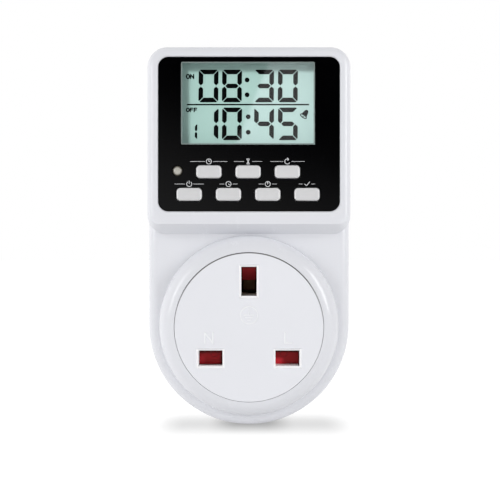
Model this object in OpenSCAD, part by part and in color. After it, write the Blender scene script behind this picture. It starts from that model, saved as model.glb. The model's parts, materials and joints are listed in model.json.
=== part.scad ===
// Plug-in digital timer switch for a BS 1363 wall socket.
// Millimetres. X runs across, Z up the wall, -Y out of the wall towards the user.
// The origin is on the wall face, on the axis of the socket disc.
// Every piece is drawn lying down (X across, Y up the wall, Z out of it) and stood up at the end.

/* [Housing] */
// Width of the housing at its parting line
body_w = 61; // [60:0.5:64]
// Height of the top edge above the socket axis, at the parting line
body_top = 82.5; // [82.5:0.1:84]
// Distance from the wall face to the parting line
split_h = 16; // [15:0.5:17]
// Distance from the wall face to the flat face around the socket
face_h = 34; // [33.5:0.25:34.5]
// Distance that the display block stands out of the flat face
block_rise = 4.5; // [4.3:0.1:5.5]
// Corner radius of the display block at the parting line
block_corner = 6.6; // [6:0.1:7]
// Corner radius of the display block's foot at the parting line
foot_corner = 6; // [5.5:0.1:7]
// Height of the foot of the display block's lower step
step_foot = 27; // [26.5:0.1:28]
// Height that the lower step leans over by
step_lean = 2.8; // [1.5:0.1:3]
// Distance that the lower step's turned ends stand wider than the block's corners
step_fade = 1.4; // [1.4:0.1:2]
// Rounding of the front edge around the socket
face_fillet = 3; // [1.5:0.1:3.2]
// Rounding of the display block's front edge
block_fillet = 2.8; // [1.5:0.1:3]
// Rounding of the rear edge
rear_fillet = 3; // [1.5:0.1:3.5]
// Mould draft of the side walls in degrees
draft = 2; // [1:0.1:2.2]
// Thickness of the side walls and flat faces
wall = 2.2; // [1.8:0.1:2.4]
// Height of the tongue that locates the two halves
tongue_h = 1.6; // [1:0.1:2]
// Thickness of the tongue
tongue_t = 1; // [0.8:0.1:1.2]

/* [Socket disc] */
// Radius of the socket disc
disc_r = 21.5; // [21:0.1:21.8]
// Distance that the socket disc stands out of the flat face
disc_rise = 6; // [5.6:0.1:6.2]
// Thickness of the socket disc
disc_t = 3; // [2.6:0.1:3.2]
// Width of the gap around the socket disc
disc_gap = 0.14; // [0.1:0.01:0.3]
// Outer radius of the ring at its foot
ring_r = 26.6; // [26:0.1:26.8]
// Width that the disc's hidden flange adds to its radius
flange_w = 2.1; // [1.6:0.1:2.2]
// Thickness of the disc's hidden flange
flange_t = 1.6; // [1.2:0.1:1.8]

/* [Slots and pins] */
// Distance between the live and neutral slots, by the wiring standard
pole_pitch = 22.23; // [22.1:0.01:22.4]
// Distance of the earth slot above the live and neutral line, by the wiring standard
earth_rise = 22.23; // [22.1:0.01:22.4]
// Height of the live and neutral line, below the socket axis
line_drop = 9.03; // [8.8:0.01:9.2]
// Width of the live and neutral slots
slot_w = 6.95; // [6.8:0.05:7.1]
// Height of the live and neutral slots
slot_h = 4.5; // [4.4:0.05:4.6]
// Width of the earth slot
earth_slot_w = 4.5; // [4.4:0.05:4.6]
// Height of the earth slot
earth_slot_h = 8.4; // [8.3:0.05:8.6]
// Bevel around each slot
slot_bevel = 0.7; // [0.3:0.05:0.8]
// Width of the live and neutral pins
pin_w = 6.35; // [6.2:0.01:6.4]
// Thickness of all three pins
pin_t = 4; // [3.9:0.01:4.05]
// Length of the live and neutral pins beyond the wall face
pin_len = 17.7; // [17.2:0.1:18.2]
// Height of the earth pin's section
earth_pin_w = 8; // [7.9:0.01:8.1]
// Length of the earth pin beyond the wall face
earth_len = 22.73; // [22.2:0.01:23.2]
// Length of the insulating sleeves
sleeve_len = 9.5; // [9:0.1:10]
// Wall of the insulating sleeves
sleeve_t = 0.6; // [0.5:0.05:0.7]
// Bevel at the pin tips
pin_bevel = 1; // [0.6:0.1:1.2]

/* [Display panel] */
// Flat rim beside the black panel
panel_rim = 0.58; // [0.5:0.01:0.9]
// Height of the black panel
panel_l = 45; // [44.6:0.1:45.2]
// Height of the panel's centre above the socket axis
panel_y = 55.93; // [55.8:0.01:56]
// Corner radius of the panel
panel_corner = 3; // [2:0.1:3.2]
// Bevel around the panel's recess
panel_bevel = 0.3; // [0.15:0.05:0.4]
// Thickness of the panel
panel_t = 1.2; // [1:0.1:1.4]
// Depth of the panel's face below the block's rim
panel_sink = 0.2; // [0.1:0.05:0.4]
// Gap around the panel in its recess
panel_gap = 0.1; // [0.05:0.01:0.2]
// Thickness of the housing wall behind the panel
panel_seat_t = 1.6; // [1.4:0.1:1.8]
// Width of the panel beside the display window
window_margin = 6.98; // [6.8:0.02:7.4]
// Height of the display window
window_l = 24.05; // [23.5:0.05:24.5]
// Sideways offset of the display window
window_x = -0.3; // [-0.5:0.05:0.5]
// Width of the panel above the display window
window_top = 1.475; // [1.2:0.005:1.8]
// Gap around the clear window in the panel
window_gap = 0.05; // [0.02:0.01:0.1]

/* [Buttons] */
// Width of a button
key_w = 7.3; // [6.8:0.1:7.6]
// Height of a button
key_l = 3.7; // [3.4:0.1:4]
// Corner radius of a button
key_corner = 1.1; // [0.7:0.1:1.3]
// Distance between buttons in a row
key_pitch = 11.4; // [11:0.1:11.6]
// Sideways position of the middle upper button
key_x = -0.25; // [-0.4:0.05:0.2]
// Height of the upper row above the socket axis
upper_row_y = 44.95; // [44.9:0.05:45.2]
// Height of the lower row above the socket axis
lower_row_y = 38.4; // [38.2:0.05:38.5]
// Distance that a button stands out of the panel
key_proud = 0.85; // [0.8:0.05:1.2]
// Travel of a button
key_travel = 0.7; // [0.3:0.05:0.75]
// Gap around a button in its hole
key_gap = 0.3; // [0.25:0.01:0.35]
// Width that a button's hidden flange adds on each side
key_flange = 0.8; // [0.6:0.05:0.9]
// Thickness of a button's hidden flange
key_flange_t = 0.8; // [0.6:0.1:0.9]
// Side of a switch under a button
switch_w = 6; // [5.5:0.1:6.2]
// Height of a switch's case
switch_t = 3.3; // [3:0.1:3.4]
// Radius of a switch's plunger
plunger_r = 1.7; // [1.4:0.1:1.8]

/* [Indicator] */
// Radius of the indicator lamp
led_r = 1.45; // [1.3:0.05:1.5]
// Sideways position of the lamp
led_x = -20.8; // [-21:0.05:-20.4]
// Height of the lamp above the socket axis
led_y = 45.27; // [45:0.01:45.5]
// Gap around the lamp in the panel
led_gap = 0.15; // [0.1:0.01:0.2]

/* [Display] */
// Width of the liquid crystal glass hidden beside the window
glass_side = 1.75; // [1.2:0.05:1.8]
// Height of the liquid crystal glass hidden above and below the window
glass_lap = 1.97; // [1.5:0.01:2]
// Thickness of the liquid crystal glass
glass_t = 2.4; // [2:0.1:2.6]
// Gap between the glass and the wall in front of it
glass_gap = 0.3; // [0.2:0.05:0.4]
// Thickness of the holder around the glass
holder_t = 0.9; // [0.7:0.1:1]
// Thickness of a contact strip under the glass
strip_t = 2; // [1.6:0.1:2.2]

/* [Boards] */
// Thickness of both circuit boards
board_t = 1.6; // [1.4:0.1:1.6]
// Gap between the display board and the side walls
board_gap = 0.78; // [0.4:0.02:1.2]
// Bottom edge of the display board above the socket axis
display_board_y0 = 33.2; // [33:0.1:33.6]
// Top edge of the display board above the socket axis
display_board_y1 = 79.3; // [79:0.1:79.4]
// Depth of the display board behind the wall that carries the panel
board_drop = 6.3; // [6.1:0.1:6.5]
// Width of the power board
power_board_w = 40; // [39.8:0.1:40.4]
// Bottom edge of the power board above the socket axis
power_board_y0 = 30; // [29.5:0.1:30.5]
// Top edge of the power board above the socket axis
power_board_y1 = 72; // [71.5:0.1:73]
// Distance from the wall face to the front of the power board
power_board_h = 8; // [7.9:0.05:8.1]

/* [Shutter] */
// Thickness of the shutter plate
shutter_t = 1.6; // [1.4:0.1:1.7]
// Depth of the shutter plate behind the disc's front
shutter_depth = 4.85; // [4.8:0.01:4.9]
// Travel of the shutter
shutter_travel = 4.9; // [4.85:0.01:5]
// Cover of the shutter beyond a slot on each side
shutter_lap = 0.7; // [0.4:0.05:0.8]
// Half width of the shutter's stem
stem_half = 5.2; // [5:0.1:5.4]
// Running gap of the shutter in its guides
slide_gap = 0.1; // [0.06:0.01:0.15]
// Coil radius of the shutter spring, to the middle of its wire
coil_r = 1.35; // [1.2:0.05:1.4]
// Wire diameter of the shutter spring
coil_wire = 0.4; // [0.3:0.05:0.45]
// Turns of the shutter spring
coil_turns = 6; // [4:1:7]

/* [Contacts] */
// Radius of the contact carrier
carrier_r = 19.6; // [19.2:0.1:19.8]
// Distance from the wall face to the rear of the contact carrier
carrier_h = 14; // [13.8:0.1:14.2]
// Thickness of the contact strips
leaf_t = 0.8; // [0.6:0.1:0.8]
// Gap between the leaves of a contact where they grip
leaf_grip = 3.6; // [3.4:0.1:3.8]
// Thickness of the flat straps
strap_t = 0.8; // [0.6:0.1:0.9]
// Width of the flat straps
strap_w = 2.6; // [2.2:0.1:2.8]

/* [Screws] */
// Shank radius of the housing screws
screw_r = 1.4; // [1.2:0.1:1.5]
// Head radius of the housing screws
screw_head_r = 2.6; // [2.3:0.1:2.7]
// Shank radius of the board screws
small_screw_r = 1; // [0.8:0.1:1.1]
// Head radius of the board screws
small_head_r = 1.8; // [1.6:0.1:1.9]

// Height of the upper housing screws above the socket axis
side_screw_y = 29; // [28:0.1:29.2]
// Turn of the lower housing screws around the socket axis, from straight down, in degrees
low_screw_turn = 43.4; // [40:0.1:46]
// Height of the clamp screws above the socket axis
clamp_screw_y = 5.4; // [4:0.1:7]
// Height of the contact carrier's ears above the socket axis
ear_y = 8; // [6:0.1:9]

/* [Power parts] */
// Place of the relay on the power board
relay_at = [2.6, 65.4]; // [0:0.1:70]
// Place of the film capacitor
film_at = [8, 51.5]; // [0:0.1:60]
// Place of the large smoothing capacitor
large_cap_at = [-11, 49.6]; // [-20:0.1:60]
// Place of the small smoothing capacitor
small_cap_at = [16.4, 42.6]; // [0:0.1:60]
// Place of the surge disc
surge_at = [8.4, 39.4]; // [0:0.1:60]
// Place of the first diode
diode_at = [-17, 37.2]; // [-20:0.1:60]
// Place of the backup cell
cell_at = [-15.7, 67]; // [-20:0.1:70]
// Place of the controller chip
chip_at = [-13.6, 40.4]; // [-20:0.1:60]
// Place of the clock crystal
crystal_at = [-4, 52]; // [-20:0.1:60]
// Radius of the clock crystal
crystal_r = 1; // [0.8:0.05:1.2]
// Length of the clock crystal
crystal_l = 6; // [5:0.1:8]
// Height of the board headers above the socket axis
header_y = 41.5; // [40:0.1:43]
// Relay case: width, height and depth
relay_size = [24, 12, 15]; // [10:0.5:26]
// Film capacitor: width, height and depth
film_size = [18, 8.5, 14]; // [8:0.5:18]
// Radius of the large smoothing capacitor
large_cap_r = 5; // [4:0.1:5.2]
// Length of the large smoothing capacitor
large_cap_l = 14; // [10:0.5:16]
// Radius of the small smoothing capacitor
small_cap_r = 3.2; // [2.5:0.1:3.4]
// Length of the small smoothing capacitor
small_cap_l = 10.5; // [8:0.5:12]
// Radius of the surge disc
surge_r = 5; // [4:0.1:5.2]
// Thickness of the surge disc
surge_t = 3; // [2:0.1:3.2]
// Radius of a diode
diode_r = 0.9; // [0.7:0.05:0.95]
// Length of a diode's case
diode_l = 4.5; // [4:0.1:5]
// Distance between diodes
diode_pitch = 2.2; // [2.1:0.1:2.4]
// Radius of the backup cell
cell_r = 6; // [5:0.1:6.2]
// Thickness of the backup cell
cell_t = 5.1; // [4:0.1:5.3]
// Side of the controller chip
chip_w = 10; // [8:0.5:11]
// Width of a board header
header_w = 14; // [10:0.5:16]
// Height of a board header
header_t = 3; // [2:0.1:3.4]
// Width of the ribbon between the boards
ribbon_w = 12; // [8:0.5:12.5]
// Thickness of the ribbon
ribbon_t = 0.6; // [0.4:0.05:0.8]
// Thickness of the pin clamp
clamp_t = 2.6; // [2:0.1:3]
// Side of the pin clamp
clamp_w = 36; // [34:0.5:37]

/* [Hidden] */
$fn = 96;
half_w = body_w / 2;
block_h = face_h + block_rise;
disc_h = face_h + disc_rise;
ring_round = disc_rise;
shoulder_in = (face_h - face_fillet - split_h) * tan(draft);
inner_inset = shoulder_in + wall;
front_ceiling = face_h - wall;
panel_floor = block_h - panel_sink - panel_t;
block_ceiling = panel_floor - panel_seat_t;
inner_half = half_w - inner_inset;
block_half = half_w - block_corner;
block_front_half = half_w - (block_h - block_fillet - split_h) * tan(draft) - block_fillet;
panel_w = 2 * (block_front_half - panel_rim);
window_w = panel_w - 2 * window_margin;
window_y = panel_y + panel_l / 2 - window_top - window_l / 2;
glass_w = window_w + 2 * glass_side;
glass_l = window_l + 2 * glass_lap;
step_foot_r = foot_corner - (face_h - split_h) * tan(draft);
block_low_y = step_foot + step_foot_r;
foot_half = half_w - foot_corner;
cavity_foot = step_foot + wall + step_lean / 2;
block_high_y = body_top - block_corner;
panel_face = block_h - panel_sink;
pole_x = pole_pitch / 2;
earth_y = earth_rise - line_drop;
disc_back = disc_h - disc_t;
shutter_front = disc_h - shutter_depth;
shutter_back = shutter_front - shutter_t;
guide_h = shutter_front + slide_gap / 2;
carrier_front = shutter_back - slide_gap;
side_rib_x = (glass_w / 2 + holder_t + inner_half) / 2;
display_board_h = block_ceiling - board_drop;
display_board_w = 2 * (inner_half - board_gap);
glass_front = block_ceiling - glass_gap;
glass_back = glass_front - glass_t;
key_bottom = block_ceiling - slide_gap - key_flange_t;
switch_top = display_board_h + switch_t;
upper_keys = [for (i = [-1:1]) key_x + i * key_pitch];
lower_keys = [for (i = [-1.5:1.5]) key_x + i * key_pitch];
boss_r = screw_r + 1.6;
small_boss_r = small_screw_r + 1;
side_screw_x = inner_half - boss_r - 0.38;
low_screw_r = inner_half - boss_r + 1.25;
low_screw = [low_screw_r * sin(low_screw_turn), -low_screw_r * cos(low_screw_turn)];
housing_screw_at = [[-side_screw_x, side_screw_y], [side_screw_x, side_screw_y],
    [-low_screw.x, low_screw.y], low_screw];
display_screw_x = display_board_w / 2 - 2.9;
display_screw_at = [for (y = [upper_row_y + 3.95, lower_row_y - 2.8], x = [-1, 1])
    [x * display_screw_x, y]];
power_screw_at = [for (y = [power_board_y0 + 4.4, power_board_y1 - 3.4], x = [-1, 1])
    [x * (power_board_w / 2 - 2.7), y]];
clamp_screw_at = [[-clamp_w / 2 + 3, clamp_screw_y], [clamp_w / 2 - 3, clamp_screw_y]];
carrier_ear_at = [[-carrier_r - 2.3, ear_y], [carrier_r + 2.3, ear_y]];
thread_gap = 0.05;
tongue_gap = 0.05;
carrier_ear_h = 26;
carrier_ear_t = 3;
shoulder_t = 1.6;
clamp_h = wall + shoulder_t + clamp_t;
eps = 0.01;
board_back = display_board_h - board_t;
board_corner = block_corner - inner_inset;
led_foot = panel_face - 5.4;
led_flange_t = 1;
led_leg = 0.5;
led_leg_x = 0.635;
tab_w = 4;
tab_t = 0.3;
rim_t = 0.3;
foot_h = 0.4;
case_corner = 0.8;
ramp_drop = 5.5;
ramp_back = 0.8;
ramp_floor = shutter_front - ramp_drop - ramp_back - 0.3;
well_gap = 0.3;
pole_well_h = carrier_front - 3.05;
earth_well_h = ramp_floor - 2.15;
contact_h = carrier_h - leaf_t;
contact_half = leaf_grip / 2 + 0.9 + leaf_t;
strap_y = -line_drop - 1.6;
flap_low = -line_drop - slot_h / 2 - 0.3;
spring_low = flap_low + 1.8;
spring_high = -0.6;
spring_h = shutter_front - shutter_t / 2;
strap_out = power_board_w / 2 - 1.9;

// ---- shared shapes ----

module stood() {
    rotate([90, 0, 0])
        children();
}

module rounded_plate(w, l, r) {
    square([w - 2 * r, l], center = true);
    square([w, l - 2 * r], center = true);
    for (x = [-1, 1], y = [-1, 1])
        translate([x * (w / 2 - r), y * (l / 2 - r)])
            circle(r);
}

// A straight wall with mould draft and a rounded top edge, from the sweep axis outwards.
module edge_profile(reach, rise, fillet) {
    top_reach = reach - (rise - fillet) * tan(draft);
    polygon([[0, 0], [reach, 0], [top_reach, rise - fillet],
        [top_reach - fillet, rise], [0, rise]]);
    translate([top_reach - fillet, rise - fillet])
        circle(fillet);
}

// The part of a profile on the outer side of the sweep axis.
module outer_side(reach, rise) {
    intersection() {
        children();
        square([reach + 1, rise + 1]);
    }
}

module corner_sweep(x, y, start, turn, reach, rise, fillet) {
    translate([x, y, 0])
        rotate([0, 0, start])
            rotate_extrude(angle = turn)
                outer_side(reach, rise)
                    edge_profile(reach, rise, fillet);
}

module side_sweep(y0, y1, rise, fillet) {
    for (m = [0, 1])
        mirror([m, 0, 0])
            translate([0, y1, 0])
                rotate([90, 0, 0])
                    linear_extrude(y1 - y0)
                        outer_side(half_w, rise)
                            edge_profile(half_w, rise, fillet);
}

module end_sweep(half, y, reach, rise, fillet) {
    translate([-half, y, 0])
        rotate([90, 0, 90])
            linear_extrude(2 * half)
                outer_side(reach, rise)
                    edge_profile(reach, rise, fillet);
}

// The round lower end of the housing, standing on the parting line.
module round_end(y1, rise, fillet) {
    corner_sweep(0, 0, 180, 180, half_w, rise, fillet);
    side_sweep(0, y1, rise, fillet);
}

// A round-cornered top end of the housing, standing on the parting line.
module square_end(rise, fillet) {
    corner_sweep(block_half, block_high_y, 0, 90, block_corner, rise, fillet);
    corner_sweep(-block_half, block_high_y, 90, 90, block_corner, rise, fillet);
    end_sweep(block_half, block_high_y, block_corner, rise, fillet);
}

module block_foot(rise, fillet) {
    corner_sweep(-foot_half, block_low_y, 180, 90, foot_corner, rise, fillet);
    corner_sweep(foot_half, block_low_y, 270, 90, foot_corner, rise, fillet);
    mirror([0, 1, 0])
        end_sweep(foot_half, -block_low_y, foot_corner, rise, fillet);
}

// The housing's plan, drawn in by an inset.
module plan(inset) {
    r = block_corner - min(inset, block_corner - 1);
    circle(half_w - inset);
    translate([-half_w + inset, 0])
        square([2 * (half_w - inset), block_high_y]);
    translate([0, body_top - inset - block_corner])
        rounded_plate(2 * (half_w - inset), 2 * block_corner, r);
}

// A flat layer between two distances from the wall face.
module slab(h0, h1) {
    translate([0, 0, h0])
        linear_extrude(h1 - h0)
            children();
}

// A rectangular hole that opens out towards the front.
module bevelled_hole(x, y, w, l, h0, h1, bevel) {
    translate([x, y, 0]) {
        translate([-w / 2, -l / 2, h0])
            cube([w, l, h1 - h0 + 1]);
        intersection() {
            flare(w, l, h1, bevel);
            rotate([0, 0, 90])
                flare(l, w, h1, bevel);
        }
    }
}

module flare(w, l, h1, bevel) {
    translate([0, l / 2 + 2, h1])
        rotate([90, 0, 0])
            linear_extrude(l + 4)
                polygon([[-w / 2, -bevel], [w / 2, -bevel], [w / 2 + bevel, 0],
                    [w / 2 + bevel, 1], [-w / 2 - bevel, 1], [-w / 2 - bevel, 0]]);
}

module screw(head_r, head_t, shank_r, shank_len) {
    difference() {
        cylinder(r = head_r, h = head_t);
        for (a = [0, 90])
            rotate([0, 0, a])
                translate([-head_r * 0.6, -head_r * 0.11, -1])
                    cube([head_r * 1.2, head_r * 0.22, 1 + head_t * 0.5]);
    }
    translate([0, 0, head_t])
        cylinder(r = shank_r, h = shank_len - shank_r);
    translate([0, 0, head_t + shank_len - shank_r])
        cylinder(r1 = shank_r, r2 = shank_r * 0.4, h = shank_r);
}

// ---- housing ----

module front_form() {
    translate([0, 0, split_h])
        round_end(block_low_y + foot_corner, face_h - split_h, face_fillet);
    difference() {
        translate([0, 0, split_h]) {
            side_sweep(block_low_y, block_high_y, block_h - split_h, block_fillet);
            square_end(block_h - split_h, block_fillet);
            block_foot(block_h - split_h, block_fillet);
        }
        step_cut();
    }
    ring_form();
}

// The convex ring around the socket disc.
module ring_form() {
    rotate_extrude()
        intersection() {
            translate([ring_r - ring_round, face_h])
                circle(ring_round);
            translate([0, face_h - 1])
                square([ring_r, disc_h - face_h + 1]);
        }
    translate([0, 0, face_h - 1])
        cylinder(r = ring_r - ring_round, h = ring_round + 1);
}

// What lies outside the leaning face under the display block and its turned ends.
module step_cut() {
    r = step_foot_r;
    difference() {
        slab(face_h, block_h + 1)
            plan(-step_fade);
        translate([0, body_top, face_h])
            leaning_plate(2 * (foot_half + step_fade), 2 * (body_top - step_foot - r),
                r, r - step_lean, block_rise + eps);
    }
}

// A round-cornered plate whose sides lean, given by the distances between its corner axes.
module leaning_plate(w, l, r1, r2, h) {
    for (a = [0, 90])
        rotate([90, 0, a])
            linear_extrude(a == 0 ? l : w, center = true)
                leaning_section((a == 0 ? w : l) / 2, r1, r2, h);
    for (x = [-w / 2, w / 2], y = [-l / 2, l / 2])
        translate([x, y, 0])
            cylinder(r1 = r1, r2 = r2, h = h);
}

module leaning_section(half, r1, r2, h) {
    polygon([[-half - r1, 0], [half + r1, 0], [half + r2, h], [-half - r2, h]]);
}

module key_holes(h0, h1, gap) {
    slab(h0, h1) {
        for (x = upper_keys)
            translate([x, upper_row_y])
                rounded_plate(key_w + 2 * gap, key_l + 2 * gap, key_corner + gap);
        for (x = lower_keys)
            translate([x, lower_row_y])
                rounded_plate(key_w + 2 * gap, key_l + 2 * gap, key_corner + gap);
    }
}

module front_housing() {
    color([0.93, 0.93, 0.94])
        stood()
            difference() {
                union() {
                    difference() {
                        front_form();
                        slab(split_h - 1, front_ceiling)
                            plan(inner_inset);
                        slab(split_h - 1, block_ceiling)
                            intersection() {
                                plan(inner_inset);
                                translate([0, body_top])
                                    rounded_plate(2 * inner_half, 2 * (body_top - cavity_foot),
                                        foot_corner - wall);
                            }
                        cylinder(r = disc_r + flange_w + 0.3, h = disc_back);
                    }
                    front_bosses();
                    front_ribs();
                }
                cylinder(r = disc_r + disc_gap, h = disc_h + 5);
                slab(panel_floor, block_h + 5)
                    translate([0, panel_y])
                        rounded_plate(panel_w, panel_l, panel_corner);
                translate([0, panel_y, block_h - panel_bevel])
                    leaning_plate(panel_w - 2 * panel_corner, panel_l - 2 * panel_corner,
                        panel_corner, panel_corner + panel_bevel + eps, panel_bevel + eps);
                slab(block_ceiling - 1, block_h)
                    translate([window_x, window_y])
                        square([window_w + 1, window_l + 1], center = true);
                key_holes(block_ceiling - 1, block_h, key_gap);
                translate([led_x, led_y, block_ceiling - 1])
                    cylinder(r = led_r + 2 * led_gap, h = block_h);
                screw_holes();
                snap_hooks(0.25);
            }
}

module front_bosses() {
    for (p = housing_screw_at)
        translate([p.x, p.y, split_h])
            cylinder(r = boss_r, h = front_ceiling - split_h + 0.5);
    for (p = display_screw_at)
        translate([p.x, p.y, display_board_h])
            cylinder(r = small_boss_r, h = block_ceiling - display_board_h + 0.5);
    for (p = carrier_ear_at)
        translate([p.x, p.y, carrier_ear_h])
            cylinder(r = small_boss_r, h = front_ceiling - carrier_ear_h + 0.5);
}

// Stiffening ribs inside the round end and under the panel seat.
module front_ribs() {
    for (a = [215, 250, 270, 290, 325])
        rotate([0, 0, a])
            translate([disc_r + flange_w + 0.6, -0.5, front_ceiling - 4])
                cube([inner_half - disc_r - flange_w, 1, 4.5]);
    for (x = [-1, 1])
        translate([x * side_rib_x - 0.5, window_y - 8, display_board_h + 0.3])
            cube([1, 14, block_ceiling - display_board_h]);
}

module screw_holes() {
    for (p = housing_screw_at)
        translate([p.x, p.y, split_h - 1])
            cylinder(r = screw_r + thread_gap, h = 11.5);
    for (p = display_screw_at)
        translate([p.x, p.y, display_board_h - 1])
            cylinder(r = small_screw_r + thread_gap, h = 5.5);
    for (p = carrier_ear_at)
        translate([p.x, p.y, carrier_ear_h - 1])
            cylinder(r = small_screw_r + thread_gap, h = 5.5);
}

module rear_housing() {
    color([0.93, 0.93, 0.94])
        stood()
            difference() {
                union() {
                    difference() {
                        translate([0, 0, split_h])
                            mirror([0, 0, 1]) {
                                round_end(block_high_y, split_h, rear_fillet);
                                square_end(split_h, rear_fillet);
                            }
                        slab(wall, split_h + 1)
                            plan(inner_inset);
                    }
                    tongue();
                    rear_bosses();
                    rear_ribs();
                    snap_hooks(0);
                }
                for (p = housing_screw_at)
                    translate([p.x, p.y, -1]) {
                        cylinder(r = screw_r + 0.2, h = split_h + 5);
                        cylinder(r = screw_head_r + 0.3, h = 1 + 10);
                    }
                for (p = concat(power_screw_at, clamp_screw_at))
                    translate([p.x, p.y, wall - 1])
                        cylinder(r = small_screw_r + thread_gap, h = 20);
                pin_holes(-1, wall + 1, thread_gap);
                tongue_reliefs();
            }
}

// The ledge inside the parting line, and the tongue that stands on it.
module tongue() {
    slab(split_h - 2.5, split_h)
        difference() {
            plan(inner_inset - 0.5);
            plan(inner_inset + tongue_gap + tongue_t);
        }
    slab(split_h - 0.5, split_h + tongue_h)
        difference() {
            plan(inner_inset + tongue_gap);
            plan(inner_inset + tongue_gap + tongue_t);
        }
}

module tongue_reliefs() {
    for (p = housing_screw_at)
        translate([p.x, p.y, split_h])
            cylinder(r = boss_r + 0.2, h = tongue_h + 1);
}

module rear_bosses() {
    for (p = housing_screw_at)
        intersection() {
            translate([p.x, p.y, wall - 1])
                cylinder(r = boss_r + 1, h = split_h - wall + 1);
            slab(0, split_h)
                plan(1);
        }
    for (p = power_screw_at)
        translate([p.x, p.y, wall - 1])
            cylinder(r = small_boss_r, h = power_board_h - board_t - wall + 1);
    for (p = clamp_screw_at)
        translate([p.x, p.y, wall - 1])
            cylinder(r = small_boss_r, h = shoulder_t + 1);
}

// Two snap hooks that hold the top edges of the halves together.
module snap_hooks(grow) {
    y = body_top - inner_inset;
    for (x = [-13, 13])
        translate([x - 2.5 - grow, 0, 0])
            rotate([90, 0, 90])
                linear_extrude(5 + 2 * grow)
                    polygon([[y - 1.4, split_h - 1], [y - thread_gap, split_h - 1],
                        [y - thread_gap, split_h + 2.6 - grow], [y + 0.7 + grow, split_h + 2.6 - grow],
                        [y + 0.7 + grow, split_h + 3.2], [y - 0.4 + grow, split_h + 6 + grow],
                        [y - 1.4, split_h + 6 + grow]]);
}

module rear_ribs() {
    for (x = [-6, 6])
        translate([x - 0.5, power_board_y0 + 6, wall - 1])
            cube([1, power_board_y1 - power_board_y0 - 8, 3]);
    for (a = [228, 249, 270, 291, 312])
        rotate([0, 0, a])
            translate([inner_half - 6.2, -0.5, wall - 1])
                cube([6.7, 1, 9]);
}

module pin_holes(h0, h1, gap) {
    for (x = [-pole_x, pole_x])
        translate([x - pin_w / 2 - gap, -line_drop - pin_t / 2 - gap, h0])
            cube([pin_w + 2 * gap, pin_t + 2 * gap, h1 - h0]);
    translate([-pin_t / 2 - gap, earth_y - earth_pin_w / 2 - gap, h0])
        cube([pin_t + 2 * gap, earth_pin_w + 2 * gap, h1 - h0]);
}

// ---- display block ----

module front_panel() {
    color([0.02, 0.02, 0.02])
        stood()
            difference() {
                slab(panel_floor, panel_face)
                    translate([0, panel_y])
                        rounded_plate(panel_w - 2 * panel_gap, panel_l - 2 * panel_gap,
                            panel_corner - panel_gap);
                slab(panel_floor - 1, panel_face + 1)
                    translate([window_x, window_y])
                        square([window_w, window_l], center = true);
                key_holes(panel_floor - 1, panel_face + 1, key_gap);
                translate([led_x, led_y, panel_floor - 1])
                    cylinder(r = led_r + led_gap, h = panel_t + 2);
            }
}

module display_window() {
    color([0.8, 0.9, 0.9, 0.35])
        stood()
            slab(panel_floor, panel_face)
                translate([window_x, window_y])
                    square([window_w - 2 * window_gap, window_l - 2 * window_gap], center = true);
}

module button(x, y) {
    color([0.82, 0.83, 0.84])
        stood()
            translate([x, y, 0]) {
                slab(key_bottom + key_flange_t, panel_face + key_proud - 0.25)
                    rounded_plate(key_w, key_l, key_corner);
                slab(panel_face + key_proud - 0.25, panel_face + key_proud)
                    rounded_plate(key_w - 0.4, key_l - 0.4, key_corner - 0.2);
                slab(key_bottom, key_bottom + key_flange_t)
                    rounded_plate(key_w + 2 * key_flange, key_l + 2 * key_flange, key_corner);
                translate([0, 0, key_bottom - 1])
                    cylinder(r = plunger_r - 0.2, h = 1);
            }
}

module plunger(x, y) {
    color([0.12, 0.12, 0.13])
        stood()
            translate([x, y, switch_top - 0.8])
                cylinder(r = plunger_r, h = key_bottom - 1 - switch_top + 0.8);
}

module key_switches() {
    color([0.2, 0.2, 0.22])
        stood() {
            for (x = upper_keys)
                key_switch(x, upper_row_y);
            for (x = lower_keys)
                key_switch(x, lower_row_y);
        }
}

module key_switch(x, y) {
    translate([x, y, display_board_h])
        difference() {
            translate([-switch_w / 2, -switch_w / 2, 0])
                cube([switch_w, switch_w, switch_t]);
            translate([0, 0, switch_t - 1.8])
                cylinder(r = plunger_r + 0.3, h = 3);
        }
}

module indicator_led() {
    color([0.8, 0.78, 0.72])
        stood()
            translate([led_x, led_y, 0]) {
                translate([0, 0, panel_face - 4.4])
                    cylinder(r = led_r, h = 4);
                translate([0, 0, panel_face - 0.4])
                    intersection() {
                        translate([0, 0, -led_r])
                            sphere(led_r * sqrt(2));
                        cylinder(r = led_r, h = led_r);
                    }
                translate([0, 0, led_foot])
                    cylinder(r = led_r + 0.3, h = led_flange_t);
                for (x = [-led_leg_x, led_leg_x])
                    translate([x - led_leg / 2, -led_leg / 2, board_back - 0.8])
                        cube([led_leg, led_leg, led_foot + led_flange_t / 2 - board_back + 0.8]);
            }
}

module lcd_glass() {
    color([0.62, 0.74, 0.7])
        stood()
            slab(glass_back, glass_front)
                translate([window_x, window_y])
                    square([glass_w, glass_l], center = true);
}

module lcd_holder() {
    color([0.88, 0.88, 0.86])
        stood()
            slab(display_board_h, glass_front - 0.4)
                translate([window_x, window_y])
                    difference() {
                        square([glass_w + 2 * holder_t, glass_l + 1.2], center = true);
                        square([glass_w + 0.2, glass_l + 0.2], center = true);
                    }
}

module lcd_strips() {
    color([0.75, 0.35, 0.4])
        stood()
            for (y = [-1, 1])
                translate([window_x - glass_w / 2 + 1, window_y + y * (glass_l / 2 - 1.6) - strip_t / 2,
                    display_board_h])
                    cube([glass_w - 2, strip_t, glass_back - display_board_h]);
}

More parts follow.
